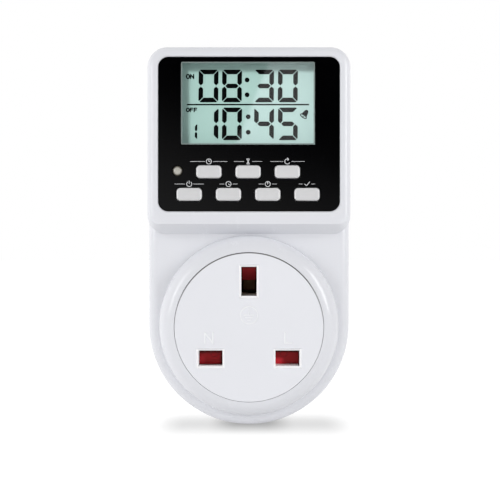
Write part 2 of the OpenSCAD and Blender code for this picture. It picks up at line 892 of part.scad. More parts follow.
module display_board() {
    color([0.1, 0.35, 0.16])
        stood()
            difference() {
                slab(board_back, display_board_h)
                    translate([0, (display_board_y0 + display_board_y1) / 2])
                        rounded_plate(display_board_w, display_board_y1 - display_board_y0,
                            board_corner);
                for (p = display_screw_at)
                    translate([p.x, p.y, 0])
                        cylinder(r = small_screw_r + 0.2, h = display_board_h + 1);
                for (x = [-led_leg_x, led_leg_x])
                    translate([led_x + x, led_y, display_board_h / 2 + 1])
                        cube([led_leg + 0.1, led_leg + 0.1, display_board_h], center = true);
            }
}

module controller_chip() {
    color([0.08, 0.08, 0.09])
        stood()
            translate([chip_at.x, chip_at.y, board_back]) {
                slab(-1.6, -0.2)
                    square([chip_w, chip_w], center = true);
                for (a = [0, 90, 180, 270], i = [-3:3])
                    rotate([0, 0, a])
                        translate([i * chip_w / 8 - 0.2, chip_w / 2, -0.8])
                            cube([0.4, 1.3, 0.8]);
            }
}

module clock_crystal() {
    color([0.75, 0.76, 0.78])
        stood()
            translate([crystal_at.x, crystal_at.y, board_back - crystal_r])
                rotate([0, 90, 0]) {
                    cylinder(r = crystal_r, h = crystal_l);
                    translate([0, 0, crystal_l])
                        cylinder(r = crystal_r * 0.3, h = crystal_l / 3);
                }
}

module backup_battery() {
    color([0.72, 0.73, 0.75])
        stood()
            translate([cell_at.x, cell_at.y, board_back - tab_t - cell_t]) {
                cylinder(r = cell_r, h = cell_t);
                translate([0, 0, -rim_t])
                    cylinder(r = cell_r - 1.6, h = rim_t);
            }
}

module battery_tabs() {
    color([0.8, 0.8, 0.82])
        stood() {
            translate([cell_at.x - tab_w / 2, cell_at.y, board_back - tab_t])
                cube([tab_w, cell_r + 3, tab_t]);
            translate([cell_at.x - tab_w / 2, cell_at.y - cell_r - 1.2,
                board_back - tab_t - cell_t - rim_t - tab_t]) {
                cube([tab_w, cell_r + 1, tab_t]);
                cube([tab_w, tab_t, cell_t + rim_t + 2 * tab_t]);
            }
        }
}

module board_headers() {
    color([0.9, 0.9, 0.86])
        stood() {
            translate([-header_w / 2, header_y - header_t / 2, board_back - header_t])
                cube([header_w, header_t, header_t]);
            translate([-header_w / 2, header_y - header_t / 2, power_board_h])
                cube([header_w, header_t, header_t]);
        }
}

module ribbon_cable() {
    color([0.55, 0.56, 0.58])
        stood()
            translate([-ribbon_w / 2, header_y - ribbon_t / 2, power_board_h + header_t])
                cube([ribbon_w, ribbon_t, board_back - power_board_h - 2 * header_t]);
}

// ---- power side ----

module power_board() {
    color([0.12, 0.38, 0.18])
        stood()
            difference() {
                slab(power_board_h - board_t, power_board_h)
                    translate([-power_board_w / 2, power_board_y0])
                        square([power_board_w, power_board_y1 - power_board_y0]);
                for (p = power_screw_at)
                    translate([p.x, p.y, 0])
                        cylinder(r = small_screw_r + 0.2, h = power_board_h + 1);
            }
}

module relay() {
    color([0.1, 0.15, 0.3])
        stood()
            translate([relay_at.x, relay_at.y, power_board_h]) {
                slab(foot_h, foot_h + relay_size.z)
                    rounded_plate(relay_size.x, relay_size.y, case_corner);
                for (x = [-1, 1], y = [-1, 1])
                    translate([x * (relay_size.x / 2 - 2.5), y * (relay_size.y / 2 - 2.5), 0])
                        cylinder(r = 1, h = foot_h);
            }
}

module film_capacitor() {
    color([0.85, 0.75, 0.2])
        stood()
            translate([film_at.x, film_at.y, power_board_h])
                slab(0, film_size.z)
                    rounded_plate(film_size.x, film_size.y, case_corner);
}

module smoothing_capacitors() {
    color([0.1, 0.13, 0.2])
        stood() {
            translate([large_cap_at.x, large_cap_at.y, power_board_h])
                cylinder(r = large_cap_r, h = large_cap_l);
            translate([small_cap_at.x, small_cap_at.y, power_board_h])
                cylinder(r = small_cap_r, h = small_cap_l);
        }
}

module surge_disc() {
    color([0.1, 0.25, 0.6])
        stood()
            translate([surge_at.x, surge_at.y, power_board_h + surge_r]) {
                rotate([90, 0, 0])
                    cylinder(r = surge_r, h = surge_t);
                translate([-surge_r / 2, -surge_t, -surge_r])
                    cube([surge_r, surge_t, surge_r]);
            }
}

module diodes() {
    color([0.1, 0.1, 0.1])
        stood()
            for (i = [0:3])
                translate([diode_at.x, diode_at.y + i * diode_pitch, power_board_h + diode_r])
                    rotate([0, 90, 0])
                        cylinder(r = diode_r, h = diode_l);
}

// ---- socket and contacts ----

module socket_face() {
    color([0.93, 0.93, 0.94])
        stood()
            difference() {
                union() {
                    translate([0, 0, disc_back])
                        cylinder(r = disc_r, h = disc_t);
                    translate([0, 0, disc_back - slide_gap - flange_t])
                        difference() {
                            cylinder(r = disc_r + flange_w, h = flange_t);
                            translate([0, 0, -1])
                                cylinder(r = disc_r - 1.5, h = flange_t + 2);
                        }
                    translate([0, 0, disc_back - slide_gap])
                        cylinder(r = disc_r - 0.2, h = slide_gap + eps);
                    slot_shrouds();
                    shutter_guides();
                }
                for (x = [-pole_x, pole_x])
                    bevelled_hole(x, -line_drop, slot_w, slot_h, guide_h - 1, disc_h, slot_bevel);
                bevelled_hole(0, earth_y, earth_slot_w, earth_slot_h, guide_h - 1, disc_h,
                    slot_bevel);
            }
}

module slot_shrouds() {
    for (x = [-pole_x, pole_x])
        translate([x - slot_w / 2 - 1.2, -line_drop - slot_h / 2 - 1.2, guide_h])
            cube([slot_w + 2.4, slot_h + 2.4, disc_back - guide_h + eps]);
    translate([-earth_slot_w / 2 - 1.2, earth_y - earth_slot_h / 2 - 1.2, guide_h])
        cube([earth_slot_w + 2.4, earth_slot_h + 2.4, disc_back - guide_h + eps]);
}

// Rails beside the shutter's stem, and the post that the spring bears on.
module shutter_guides() {
    for (m = [0, 1])
        mirror([m, 0, 0])
            translate([stem_half + slide_gap, 2.4, carrier_front + slide_gap / 2])
                cube([1.4, 9, disc_back - carrier_front]);
    translate([-1.9, spring_high, carrier_front + slide_gap / 2])
        cube([3.8, 1, disc_back - carrier_front]);
}

module shutter() {
    flap_high = -line_drop + slot_h / 2 + shutter_lap;
    flap_out = pole_x + slot_w / 2 + shutter_lap;
    ramp_low = earth_y;
    ramp_high = earth_y + earth_slot_h / 2 + 0.2;
    color([0.62, 0.07, 0.1])
        stood() {
            slab(shutter_back, shutter_front)
                difference() {
                    union() {
                        translate([-flap_out, flap_low])
                            square([2 * flap_out, flap_high - flap_low]);
                        translate([-stem_half, flap_low])
                            square([2 * stem_half, ramp_high - 0.6 - flap_low]);
                        translate([0.8 - stem_half, 0])
                            square([2 * stem_half - 1.6, ramp_high + 0.6]);
                    }
                    translate([-2.2, spring_low])
                        square([4.4, 10.2]);
                    translate([-earth_slot_w / 2 - 0.3, 3.9])
                        square([earth_slot_w + 0.6, ramp_high - 3.9]);
                }
            translate([-earth_slot_w / 2 - 0.3, 0, 0])
                rotate([90, 0, 90])
                    linear_extrude(earth_slot_w + 0.6)
                        polygon([[ramp_low, shutter_front - ramp_drop],
                            [ramp_low, shutter_front - ramp_drop - ramp_back],
                            [ramp_high + 0.6, shutter_front - ramp_drop - ramp_back],
                            [ramp_high + 0.6, shutter_front], [ramp_high, shutter_front]]);
        }
}

// The level slice through a round wire wound to the spring's pitch.
function wire_slice(steps, spread) = [for (i = [0:steps - 1])
    let (a = 360 * i / steps, r = coil_r + coil_wire / 2 * cos(a), b = spread * sin(a))
        [r * cos(b), r * sin(b)]];

module shutter_spring() {
    length = spring_high - spring_low;
    color([0.7, 0.71, 0.73])
        stood()
            translate([0, spring_low, spring_h])
                rotate([-90, 0, 0])
                    linear_extrude(length, twist = -360 * coil_turns,
                        slices = 18 * coil_turns, $fn = 12)
                        polygon(wire_slice(12, 180 * coil_wire * coil_turns / length));
}

module contact_carrier() {
    color([0.9, 0.9, 0.88])
        stood()
            difference() {
                union() {
                    translate([0, 0, carrier_h])
                        cylinder(r = carrier_r, h = carrier_front - carrier_h);
                    for (p = carrier_ear_at)
                        carrier_ear(p);
                }
                carrier_wells();
                ramp_recess();
                translate([0, spring_low - 0.3, spring_h])
                    rotate([-90, 0, 0])
                        cylinder(r = coil_r + coil_wire / 2 + 0.3, h = 10.5);
                for (p = carrier_ear_at)
                    translate([p.x, p.y, 0])
                        cylinder(r = small_screw_r + 0.2, h = disc_h);
            }
}

module carrier_ear(p) {
    translate([p.x, p.y, carrier_ear_h - carrier_ear_t])
        cylinder(r = small_boss_r + 0.4, h = carrier_ear_t);
    translate([min(p.x, 0), p.y - small_boss_r - 0.4, carrier_ear_h - carrier_ear_t])
        cube([abs(p.x), 2 * small_boss_r + 0.8, carrier_ear_t]);
}

// The wells for the contacts, open at the rear, with pin holes through to the front.
module carrier_wells() {
    for (x = [-pole_x, pole_x]) {
        translate([x - pin_w / 2 - well_gap, -line_drop - contact_half - 0.2, carrier_h - 1])
            cube([pin_w + 2 * well_gap, 2 * contact_half + 0.4, pole_well_h - carrier_h + 1]);
        translate([x - slot_w / 2, -line_drop - slot_h / 2, carrier_h])
            cube([slot_w, slot_h, disc_h]);
    }
    translate([-contact_half - 0.2, earth_y - earth_slot_h / 2 - well_gap, carrier_h - 1])
        cube([2 * contact_half + 0.4, earth_slot_h + 2 * well_gap, earth_well_h - carrier_h + 1]);
    translate([-earth_slot_w / 2, earth_y - earth_slot_h / 2, carrier_h])
        cube([earth_slot_w, earth_slot_h, disc_h]);
}

module ramp_recess() {
    translate([-earth_slot_w / 2 - 0.6, earth_y - 0.4, ramp_floor])
        cube([earth_slot_w + 1.2, carrier_r + 1, disc_h]);
}

// A spring clip drawn in side view: two leaves that close towards the mouth, on a base.
module clip_profile(height) {
    grip = leaf_grip / 2;
    foot = grip + 0.9;
    lip = grip + 1.1;
    bend = height * 0.35;
    neck = height * 0.82;
    right = [[foot + leaf_t, 0], [foot + leaf_t, bend], [grip + leaf_t, neck],
        [lip + leaf_t, height], [lip, height], [grip, neck], [foot, bend], [foot, leaf_t]];
    left = [for (i = [len(right) - 1:-1:0]) [-right[i].x, right[i].y]];
    polygon(concat(right, left));
}

module pole_contact(x) {
    translate([x - pin_w / 2, -line_drop, contact_h])
        rotate([90, 0, 90])
            linear_extrude(pin_w)
                clip_profile(pole_well_h - 1.6 - contact_h);
}

module live_contact() {
    color([0.8, 0.62, 0.25])
        stood()
            pole_contact(pole_x);
}

module neutral_contact() {
    color([0.8, 0.62, 0.25])
        stood() {
            pole_contact(-pole_x);
            translate([-pole_x - 2, -line_drop - 1.2, power_board_h + strap_t])
                cube([4, 2.4, contact_h - power_board_h - strap_t]);
        }
}

module earth_contact() {
    color([0.8, 0.62, 0.25])
        stood() {
            translate([0, earth_y + earth_pin_w / 2, contact_h])
                rotate([90, 0, 0])
                    linear_extrude(earth_pin_w)
                        clip_profile(earth_well_h - 1 - contact_h);
            translate([-pin_t / 2 + 0.4, earth_y - 3, power_board_h])
                cube([pin_t - 0.8, 6, contact_h - power_board_h]);
        }
}

module live_strap() {
    color([0.82, 0.66, 0.3])
        stood()
            slab(power_board_h, power_board_h + strap_t) {
                translate([pole_x - 2.4, strap_y])
                    square([strap_out - pole_x + 2.4, 3.2]);
                translate([strap_out - strap_w, strap_y])
                    square([strap_w, power_board_y0 + 1.3 - strap_y]);
            }
}

module neutral_strap() {
    color([0.82, 0.66, 0.3])
        stood()
            slab(power_board_h, power_board_h + strap_t) {
                translate([-strap_out, strap_y])
                    square([strap_out - pole_x + 2.4, 3.2]);
                translate([-strap_out, strap_y])
                    square([strap_w, power_board_y0 + 1.3 - strap_y]);
            }
}

module switched_strap() {
    low = contact_h - strap_t;
    right = strap_out - strap_w - 0.4;
    high_y = power_board_y0 + 6;
    color([0.82, 0.66, 0.3])
        stood() {
            slab(low, contact_h) {
                translate([pole_x - 2.4, strap_y])
                    square([right - pole_x + 2.4, 3.2]);
                translate([right - strap_w, strap_y])
                    square([strap_w, high_y - strap_y]);
            }
            translate([right - strap_w, high_y - strap_t, power_board_h])
                cube([strap_w, strap_t, low - power_board_h]);
        }
}

// A pin with its tip bevelled, pointing into the wall.
module pin_bar(w, l, h0, h1) {
    intersection() {
        translate([-w / 2, -l / 2, h0])
            cube([w, l, h1 - h0]);
        pin_taper(w, l, h0, h1);
        rotate([0, 0, 90])
            pin_taper(l, w, h0, h1);
    }
}

module pin_taper(w, l, h0, h1) {
    translate([0, l, 0])
        rotate([90, 0, 0])
            linear_extrude(2 * l)
                polygon([[-w / 2 + pin_bevel, h0], [w / 2 - pin_bevel, h0],
                    [w / 2, h0 + 1.6 * pin_bevel], [w / 2, h1], [-w / 2, h1],
                    [-w / 2, h0 + 1.6 * pin_bevel]]);
}

module pole_pin(x) {
    core_w = pin_w - 2 * sleeve_t;
    core_t = pin_t - 2 * sleeve_t;
    translate([x, -line_drop, 0]) {
        pin_bar(pin_w, pin_t, -pin_len, -sleeve_len);
        translate([-core_w / 2, -core_t / 2, -sleeve_len])
            cube([core_w, core_t, sleeve_len + wall]);
        translate([-pin_w / 2 - 1.4, -pin_t / 2 - 1.4, wall])
            cube([pin_w + 2.8, pin_t + 2.8, shoulder_t]);
        translate([-pin_w / 2, -pin_t / 2, wall + shoulder_t])
            cube([pin_w, pin_t, power_board_h - wall - shoulder_t]);
    }
}

module live_pin() {
    color([0.85, 0.68, 0.32])
        stood()
            pole_pin(pole_x);
}

module neutral_pin() {
    color([0.85, 0.68, 0.32])
        stood()
            pole_pin(-pole_x);
}

module earth_pin() {
    color([0.85, 0.68, 0.32])
        stood()
            translate([0, earth_y, 0]) {
                pin_bar(pin_t, earth_pin_w, -earth_len, power_board_h);
                translate([-pin_t / 2 - 1.4, -earth_pin_w / 2 - 1.4, wall])
                    cube([pin_t + 2.8, earth_pin_w + 2.8, shoulder_t]);
            }
}

module pin_sleeve(x) {
    core_w = pin_w - 2 * sleeve_t;
    core_t = pin_t - 2 * sleeve_t;
    translate([x, -line_drop, -sleeve_len])
        difference() {
            translate([-pin_w / 2, -pin_t / 2, 0])
                cube([pin_w, pin_t, sleeve_len + wall]);
            translate([-core_w / 2, -core_t / 2, -1])
                cube([core_w, core_t, sleeve_len + wall + 2]);
        }
}

module live_sleeve() {
    color([0.1, 0.1, 0.1])
        stood()
            pin_sleeve(pole_x);
}

module neutral_sleeve() {
    color([0.1, 0.1, 0.1])
        stood()
            pin_sleeve(-pole_x);
}

// The plate that traps the shoulders of the three pins.
module pin_clamp() {
    seat = wall + shoulder_t;
    color([0.88, 0.88, 0.86])
        stood()
            difference() {
                slab(seat, clamp_h)
                    translate([0, 2])
                        rounded_plate(clamp_w, clamp_w - 2, 4);
                pin_holes(0, split_h, thread_gap);
                for (p = clamp_screw_at)
                    translate([p.x, p.y, 0])
                        cylinder(r = small_screw_r + 0.2, h = split_h);
            }
}

// ---- screws ----

module housing_screws() {
    color([0.75, 0.76, 0.78])
        stood()
            for (p = housing_screw_at)
                translate([p.x, p.y, 10 - 2])
                    screw(screw_head_r, 2, screw_r, 15);
}

module board_screws() {
    color([0.75, 0.76, 0.78])
        stood() {
            for (p = display_screw_at)
                translate([p.x, p.y, display_board_h - board_t - 1.3])
                    screw(small_head_r, 1.3, small_screw_r, 5.5);
            for (p = power_screw_at)
                translate([p.x, p.y, power_board_h + 1.3])
                    mirror([0, 0, 1])
                        screw(small_head_r, 1.3, small_screw_r, 5.5);
            for (p = clamp_screw_at)
                translate([p.x, p.y, clamp_h + 1.3])
                    mirror([0, 0, 1])
                        screw(small_head_r, 1.3, small_screw_r, 5);
        }
}

module carrier_screws() {
    color([0.75, 0.76, 0.78])
        stood()
            for (p = carrier_ear_at)
                translate([p.x, p.y, carrier_ear_h - carrier_ear_t - 1.3])
                    screw(small_head_r, 1.3, small_screw_r, 7);
}

front_housing();
rear_housing();
front_panel();
display_window();
socket_face();
shutter();
shutter_spring();
button(upper_keys[0], upper_row_y);  // timing_button
button(upper_keys[1], upper_row_y);  // countdown_button
button(upper_keys[2], upper_row_y);  // cycle_button
button(lower_keys[0], lower_row_y);  // mode_button
button(lower_keys[1], lower_row_y);  // hour_button
button(lower_keys[2], lower_row_y);  // minute_button
button(lower_keys[3], lower_row_y);  // enter_button
plunger(upper_keys[0], upper_row_y);  // timing_plunger
plunger(upper_keys[1], upper_row_y);  // countdown_plunger
plunger(upper_keys[2], upper_row_y);  // cycle_plunger
plunger(lower_keys[0], lower_row_y);  // mode_plunger
plunger(lower_keys[1], lower_row_y);  // hour_plunger
plunger(lower_keys[2], lower_row_y);  // minute_plunger
plunger(lower_keys[3], lower_row_y);  // enter_plunger
key_switches();
indicator_led();
lcd_glass();
lcd_holder();
lcd_strips();
display_board();
controller_chip();
clock_crystal();
backup_battery();
battery_tabs();
board_headers();
ribbon_cable();
power_board();
relay();
film_capacitor();
smoothing_capacitors();
surge_disc();
diodes();
contact_carrier();
live_contact();
neutral_contact();
earth_contact();
live_strap();
neutral_strap();
switched_strap();
live_pin();
neutral_pin();
earth_pin();
live_sleeve();
neutral_sleeve();
pin_clamp();
housing_screws();
board_screws();
carrier_screws();
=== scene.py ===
"""A plug-through timer for a three-pin wall socket: moulded housing, display block, keys,
shuttered socket and pins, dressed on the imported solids.

Working directions are millimetres across (x), up the wall (y) and out of the wall (h).
stand() turns them into the frame's metres.
"""
import json
import math

import bmesh
import bpy
import numpy as np
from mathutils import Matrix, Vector


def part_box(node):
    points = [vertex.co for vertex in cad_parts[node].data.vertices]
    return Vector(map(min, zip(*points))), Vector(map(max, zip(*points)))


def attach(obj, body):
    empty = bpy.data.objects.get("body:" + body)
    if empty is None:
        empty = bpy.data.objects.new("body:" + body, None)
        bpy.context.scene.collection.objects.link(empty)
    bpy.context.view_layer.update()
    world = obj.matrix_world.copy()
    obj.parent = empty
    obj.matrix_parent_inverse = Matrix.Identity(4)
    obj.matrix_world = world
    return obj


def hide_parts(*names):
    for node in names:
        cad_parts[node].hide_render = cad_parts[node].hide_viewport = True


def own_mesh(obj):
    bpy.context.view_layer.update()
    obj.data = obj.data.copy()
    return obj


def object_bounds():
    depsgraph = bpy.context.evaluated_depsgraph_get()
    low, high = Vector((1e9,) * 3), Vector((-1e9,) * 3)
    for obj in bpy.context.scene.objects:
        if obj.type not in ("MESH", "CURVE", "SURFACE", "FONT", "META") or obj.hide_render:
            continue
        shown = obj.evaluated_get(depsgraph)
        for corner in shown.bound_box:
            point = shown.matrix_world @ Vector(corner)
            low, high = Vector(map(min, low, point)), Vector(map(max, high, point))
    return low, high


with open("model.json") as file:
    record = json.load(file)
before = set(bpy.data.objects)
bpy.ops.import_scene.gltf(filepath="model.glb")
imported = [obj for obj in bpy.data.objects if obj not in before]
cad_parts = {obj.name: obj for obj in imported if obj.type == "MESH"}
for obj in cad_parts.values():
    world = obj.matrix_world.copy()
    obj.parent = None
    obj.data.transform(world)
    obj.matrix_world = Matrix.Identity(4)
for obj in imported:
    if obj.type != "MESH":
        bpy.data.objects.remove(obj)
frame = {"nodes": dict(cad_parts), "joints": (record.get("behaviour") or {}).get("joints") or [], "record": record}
cad_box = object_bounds()
nodes = frame["nodes"]
scene = bpy.context.scene
MM = 0.001
BODY = "timer"


class Reach:
    """How far a node goes, in millimetres, in the working directions."""

    def __init__(self, node):
        low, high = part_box(node)
        self.x0, self.x1 = low.x / MM, high.x / MM
        self.y0, self.y1 = low.z / MM, high.z / MM
        self.h0, self.h1 = -high.y / MM, -low.y / MM
        self.x, self.y = (self.x0 + self.x1) / 2, (self.y0 + self.y1) / 2
        self.w, self.l = self.x1 - self.x0, self.y1 - self.y0


panel = Reach("front_panel")
window = Reach("display_window")
glass = Reach("lcd_glass")
disc = Reach("socket_face")
flap = Reach("shutter")
keys = {kind: Reach(kind + "_button")
        for kind in ("timing", "countdown", "cycle", "mode", "hour", "minute", "enter")}

# Sizes in millimetres that a finish needs and no node's reach gives
DISC_R = 21.5
SPLIT_H = 16.0
SLOT_BEVEL = 0.7
EJECTOR_X, EJECTOR_Y, EJECTOR_R = 10.2, -8.2, 1.05
CAP_STEP = 0.8

# Each slot's middle and half sizes. The record's boxes stop SLOT_PLAY short of its walls.
SLOT_PLAY = 0.13
slots = {}
for gap in frame["record"]["physics"]["openings"]:
    (x0, _, y0), (x1, _, y1) = (np.array(corner) / MM for corner in gap["box_m"])
    slots[gap["name"]] = ((x0 + x1) / 2, (y0 + y1) / 2,
                          (x1 - x0) / 2 + SLOT_PLAY, (y1 - y0) / 2 + SLOT_PLAY)

# ---------------------------------------------------------------- surfaces

# A raised mark starts this far inside the face it stands on
SINK = 0.02


def stand(x, y, h):
    """Across, up the wall and out of the wall, as points of the frame in metres."""
    x, y, h = np.broadcast_arrays(x, y, h)
    return np.stack([x, -h, y], -1).astype(float) * MM


def levelled(levels, x=0, y=0):
    """The rings of a body from pairs of an outline and its height, moved by x, y."""
    return np.array([stand(o[:, 0] + x, o[:, 1] + y, h) for o, h in levels])


def stack(rings):
    """A closed body from rings[k, i]: neighbouring rings are joined point by point,
    and a fan about the middle of the first and of the last ring closes each end."""
    count, around = rings.shape[:2]
    at = np.arange(count * around).reshape(count, around)
    after = np.roll(at, -1, 1)
    points = np.concatenate([rings.reshape(-1, 3), rings[:1].mean(1), rings[-1:].mean(1)])
    sides = np.stack([at[:-1], after[:-1], after[1:], at[1:]], -1).reshape(-1, 4)
    foot = np.stack([after[0], at[0], np.full(around, count * around)], -1)
    top = np.stack([at[-1], after[-1], np.full(around, count * around + 1)], -1)
    return points, [*sides.tolist(), *foot.tolist(), *top.tolist()]


def hoop(rings):
    """A closed ring-shaped body: as stack(), with the last ring joined to the first."""
    count, around = rings.shape[:2]
    at = np.arange(count * around).reshape(count, around)
    on = np.roll(at, -1, 0)
    after, on_after = np.roll(at, -1, 1), np.roll(on, -1, 1)
    sides = np.stack([at, after, on_after, on], -1).reshape(-1, 4)
    return rings.reshape(-1, 3), sides.tolist()


def joined(parts):
    """Several bodies as one list of points and faces."""
    points, faces, start = [], [], 0
    for some, sides in parts:
        points.append(some)
        faces += [[start + i for i in side] for side in sides]
        start += len(some)
    return np.concatenate(points), faces


def piece(name, shape, slot, body=BODY, replaced=(), crease=35):
    """Puts a shape into a mesh with its doubles merged, its faces outward and its edges
    sharp from the crease's angle on, gives it its finish and rides it on its body."""
    points, faces = shape
    mesh = bpy.data.meshes.new(name)
    mesh.from_pydata(points.tolist(), [], faces)
    work = bmesh.new()
    work.from_mesh(mesh)
    bmesh.ops.remove_doubles(work, verts=work.verts, dist=1e-7)
    bmesh.ops.recalc_face_normals(work, faces=work.faces)
    work.to_mesh(mesh)
    work.free()
    mesh.shade_smooth()
    mesh.set_sharp_from_angle(angle=math.radians(crease))
    made = bpy.data.objects.new(name, mesh)
    scene.collection.objects.link(made)
    mesh.materials.append(finishes[slot])
    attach(made, body)
    if replaced:
        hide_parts(*replaced)
    return made


def rounded(corners, radius, steps=5):
    """An outline with each corner of a polygon turned into an arc: the arc's points are
    a quadratic curve from one side to the next, with the corner as its control point."""
    corners = np.asarray(corners, float)
    t = np.linspace(0, 1, steps)[None, :, None]
    before, after = np.roll(corners, 1, 0), np.roll(corners, -1, 0)

    def along(other):
        step = other - corners
        size = np.linalg.norm(step, axis=1, keepdims=True)
        return corners + step / size * np.minimum(radius, 0.45 * size)

    a, b = along(before)[:, None], along(after)[:, None]
    c = corners[:, None]
    return ((1 - t) ** 2 * a + 2 * t * (1 - t) * c + t**2 * b).reshape(-1, 2)


def raised(outline, base, rise, edge):
    """A flat mark with a softened edge: the outline goes up, and its last step draws in
    towards the middle by the edge's width."""
    middle = outline.mean(0)
    reach = np.linalg.norm(outline - middle, axis=1, keepdims=True)
    inner = middle + (outline - middle) * (1 - edge / np.maximum(reach, 4 * edge))
    return stack(levelled([(outline, base - SINK), (outline, base + 0.6 * rise),
                           (inner, base + rise)]))


def arc(x, y, radius, start, end, steps=24):
    """Points on a circle between two angles in degrees."""
    a = np.radians(np.linspace(start, end, steps))
    return np.stack([x + radius * np.cos(a), y + radius * np.sin(a)], -1)


def circle(x, y, radius):
    """Points right round a circle, 15 degrees apart."""
    return arc(x, y, radius, 0, 345)


def line(*corners):
    """A polyline with points a quarter of the way along each of its sides."""
    c = np.asarray(corners, float)
    t = np.linspace(0, 1, 5)[:-1, None]
    sides = [a + (b - a) * t for a, b in zip(c[:-1], c[1:])]
    return np.concatenate([*sides, c[-1:]])


def stroke(path, half, rise, base, closed=False, across=7, cap=5):
    """A raised line along a path. At a distance q from the line, as a share of its half
    width, the height is rise times the root of one less q to the sixth, so the top is
    flat and the shoulders and the two ends are round."""
    path = np.asarray(path, float)
    if closed:
        ahead = np.roll(path, -1, 0) - np.roll(path, 1, 0)
        spread = np.zeros(len(path))
        middle = path
    else:
        ahead = np.gradient(path, axis=0)
    ahead /= np.linalg.norm(ahead, axis=1, keepdims=True)
    if not closed:
        a = np.linspace(0, math.pi / 2, cap)[1:]
        first = path[0] - ahead[0] * half * np.sin(a[::-1, None])
        last = path[-1] + ahead[-1] * half * np.sin(a[:, None])
        middle = np.concatenate([first, path, last])
        spread = np.concatenate([a[::-1], np.zeros(len(path)), a])
        ahead = np.concatenate([np.repeat(ahead[:1], cap - 1, 0), ahead,
                                np.repeat(ahead[-1:], cap - 1, 0)])
    left = np.stack([-ahead[:, 1], ahead[:, 0]], -1)
    v = np.concatenate([np.sin(np.linspace(-math.pi / 2, math.pi / 2, across)), [1, -1]])
    along, aside = np.sin(spread)[:, None], v[None, :] * np.cos(spread)[:, None]
    offset = v[None, :] * half * np.cos(spread)[:, None]
    q_squared = np.clip(along**2 + aside**2, 0, 1)
    height = base + rise * np.sqrt(1 - q_squared**3)
    height[:, across:] = base - SINK
    plan = middle[:, None] + left[:, None] * offset[..., None]
    rings = stand(plan[..., 0], plan[..., 1], height)
    return hoop(rings) if closed else stack(rings)


def plate_outline(w, l, r, steps=9):
    """A rounded rectangle about the origin, with the outward direction at each point."""
    a = np.radians(np.linspace(0, 90, steps))
    turn = np.concatenate([a + k * math.pi / 2 for k in range(4)])
    sx = np.repeat([1, -1, -1, 1], steps) * (w / 2 - r)
    sy = np.repeat([1, 1, -1, -1], steps) * (l / 2 - r)
    out = np.stack([np.cos(turn), np.sin(turn)], -1)
    return np.stack([sx, sy], -1) + r * out, out


# ---------------------------------------------------------------- finishes


class Wire:
    """A socket in a finish. Arithmetic on it adds Math nodes, so a formula reads as one."""

    def __init__(self, finish, socket):
        self.finish, self.socket = finish, socket

    def math(self, operation, *parts):
        return self.finish.node("ShaderNodeMath", {"operation": operation},
                                dict(enumerate(parts)))

    def __add__(self, other):
        return self.math("ADD", self, other)

    def __sub__(self, other):
        return self.math("SUBTRACT", self, other)

    def __rsub__(self, other):
        return self.math("SUBTRACT", other, self)

    def __mul__(self, other):
        return self.math("MULTIPLY", self, other)

    def __truediv__(self, other):
        return self.math("DIVIDE", self, other)

    def __rtruediv__(self, other):
        return self.math("DIVIDE", other, self)

    def __pow__(self, other):
        return self.math("POWER", self, other)

    def __gt__(self, other):
        return self.math("GREATER_THAN", self, other)

    def __lt__(self, other):
        return self.math("LESS_THAN", self, other)

    __radd__, __rmul__ = __add__, __mul__

    def fract(self):
        return self.math("FRACT", self)

    def size(self):
        return self.math("ABSOLUTE", self)

    def most(self, other):
        """The greater of the two."""
        return self.math("MAXIMUM", self, other)

    def held(self, low=0.0, high=1.0):
        return self.math("MINIMUM", self.most(low), high)

    def ramp(self, low, high):
        """0 below low, 1 above high, smooth between."""
        return self.finish.node("ShaderNodeMapRange", {"interpolation_type": "SMOOTHSTEP"},
                                {"Value": self, "From Min": low, "From Max": high})


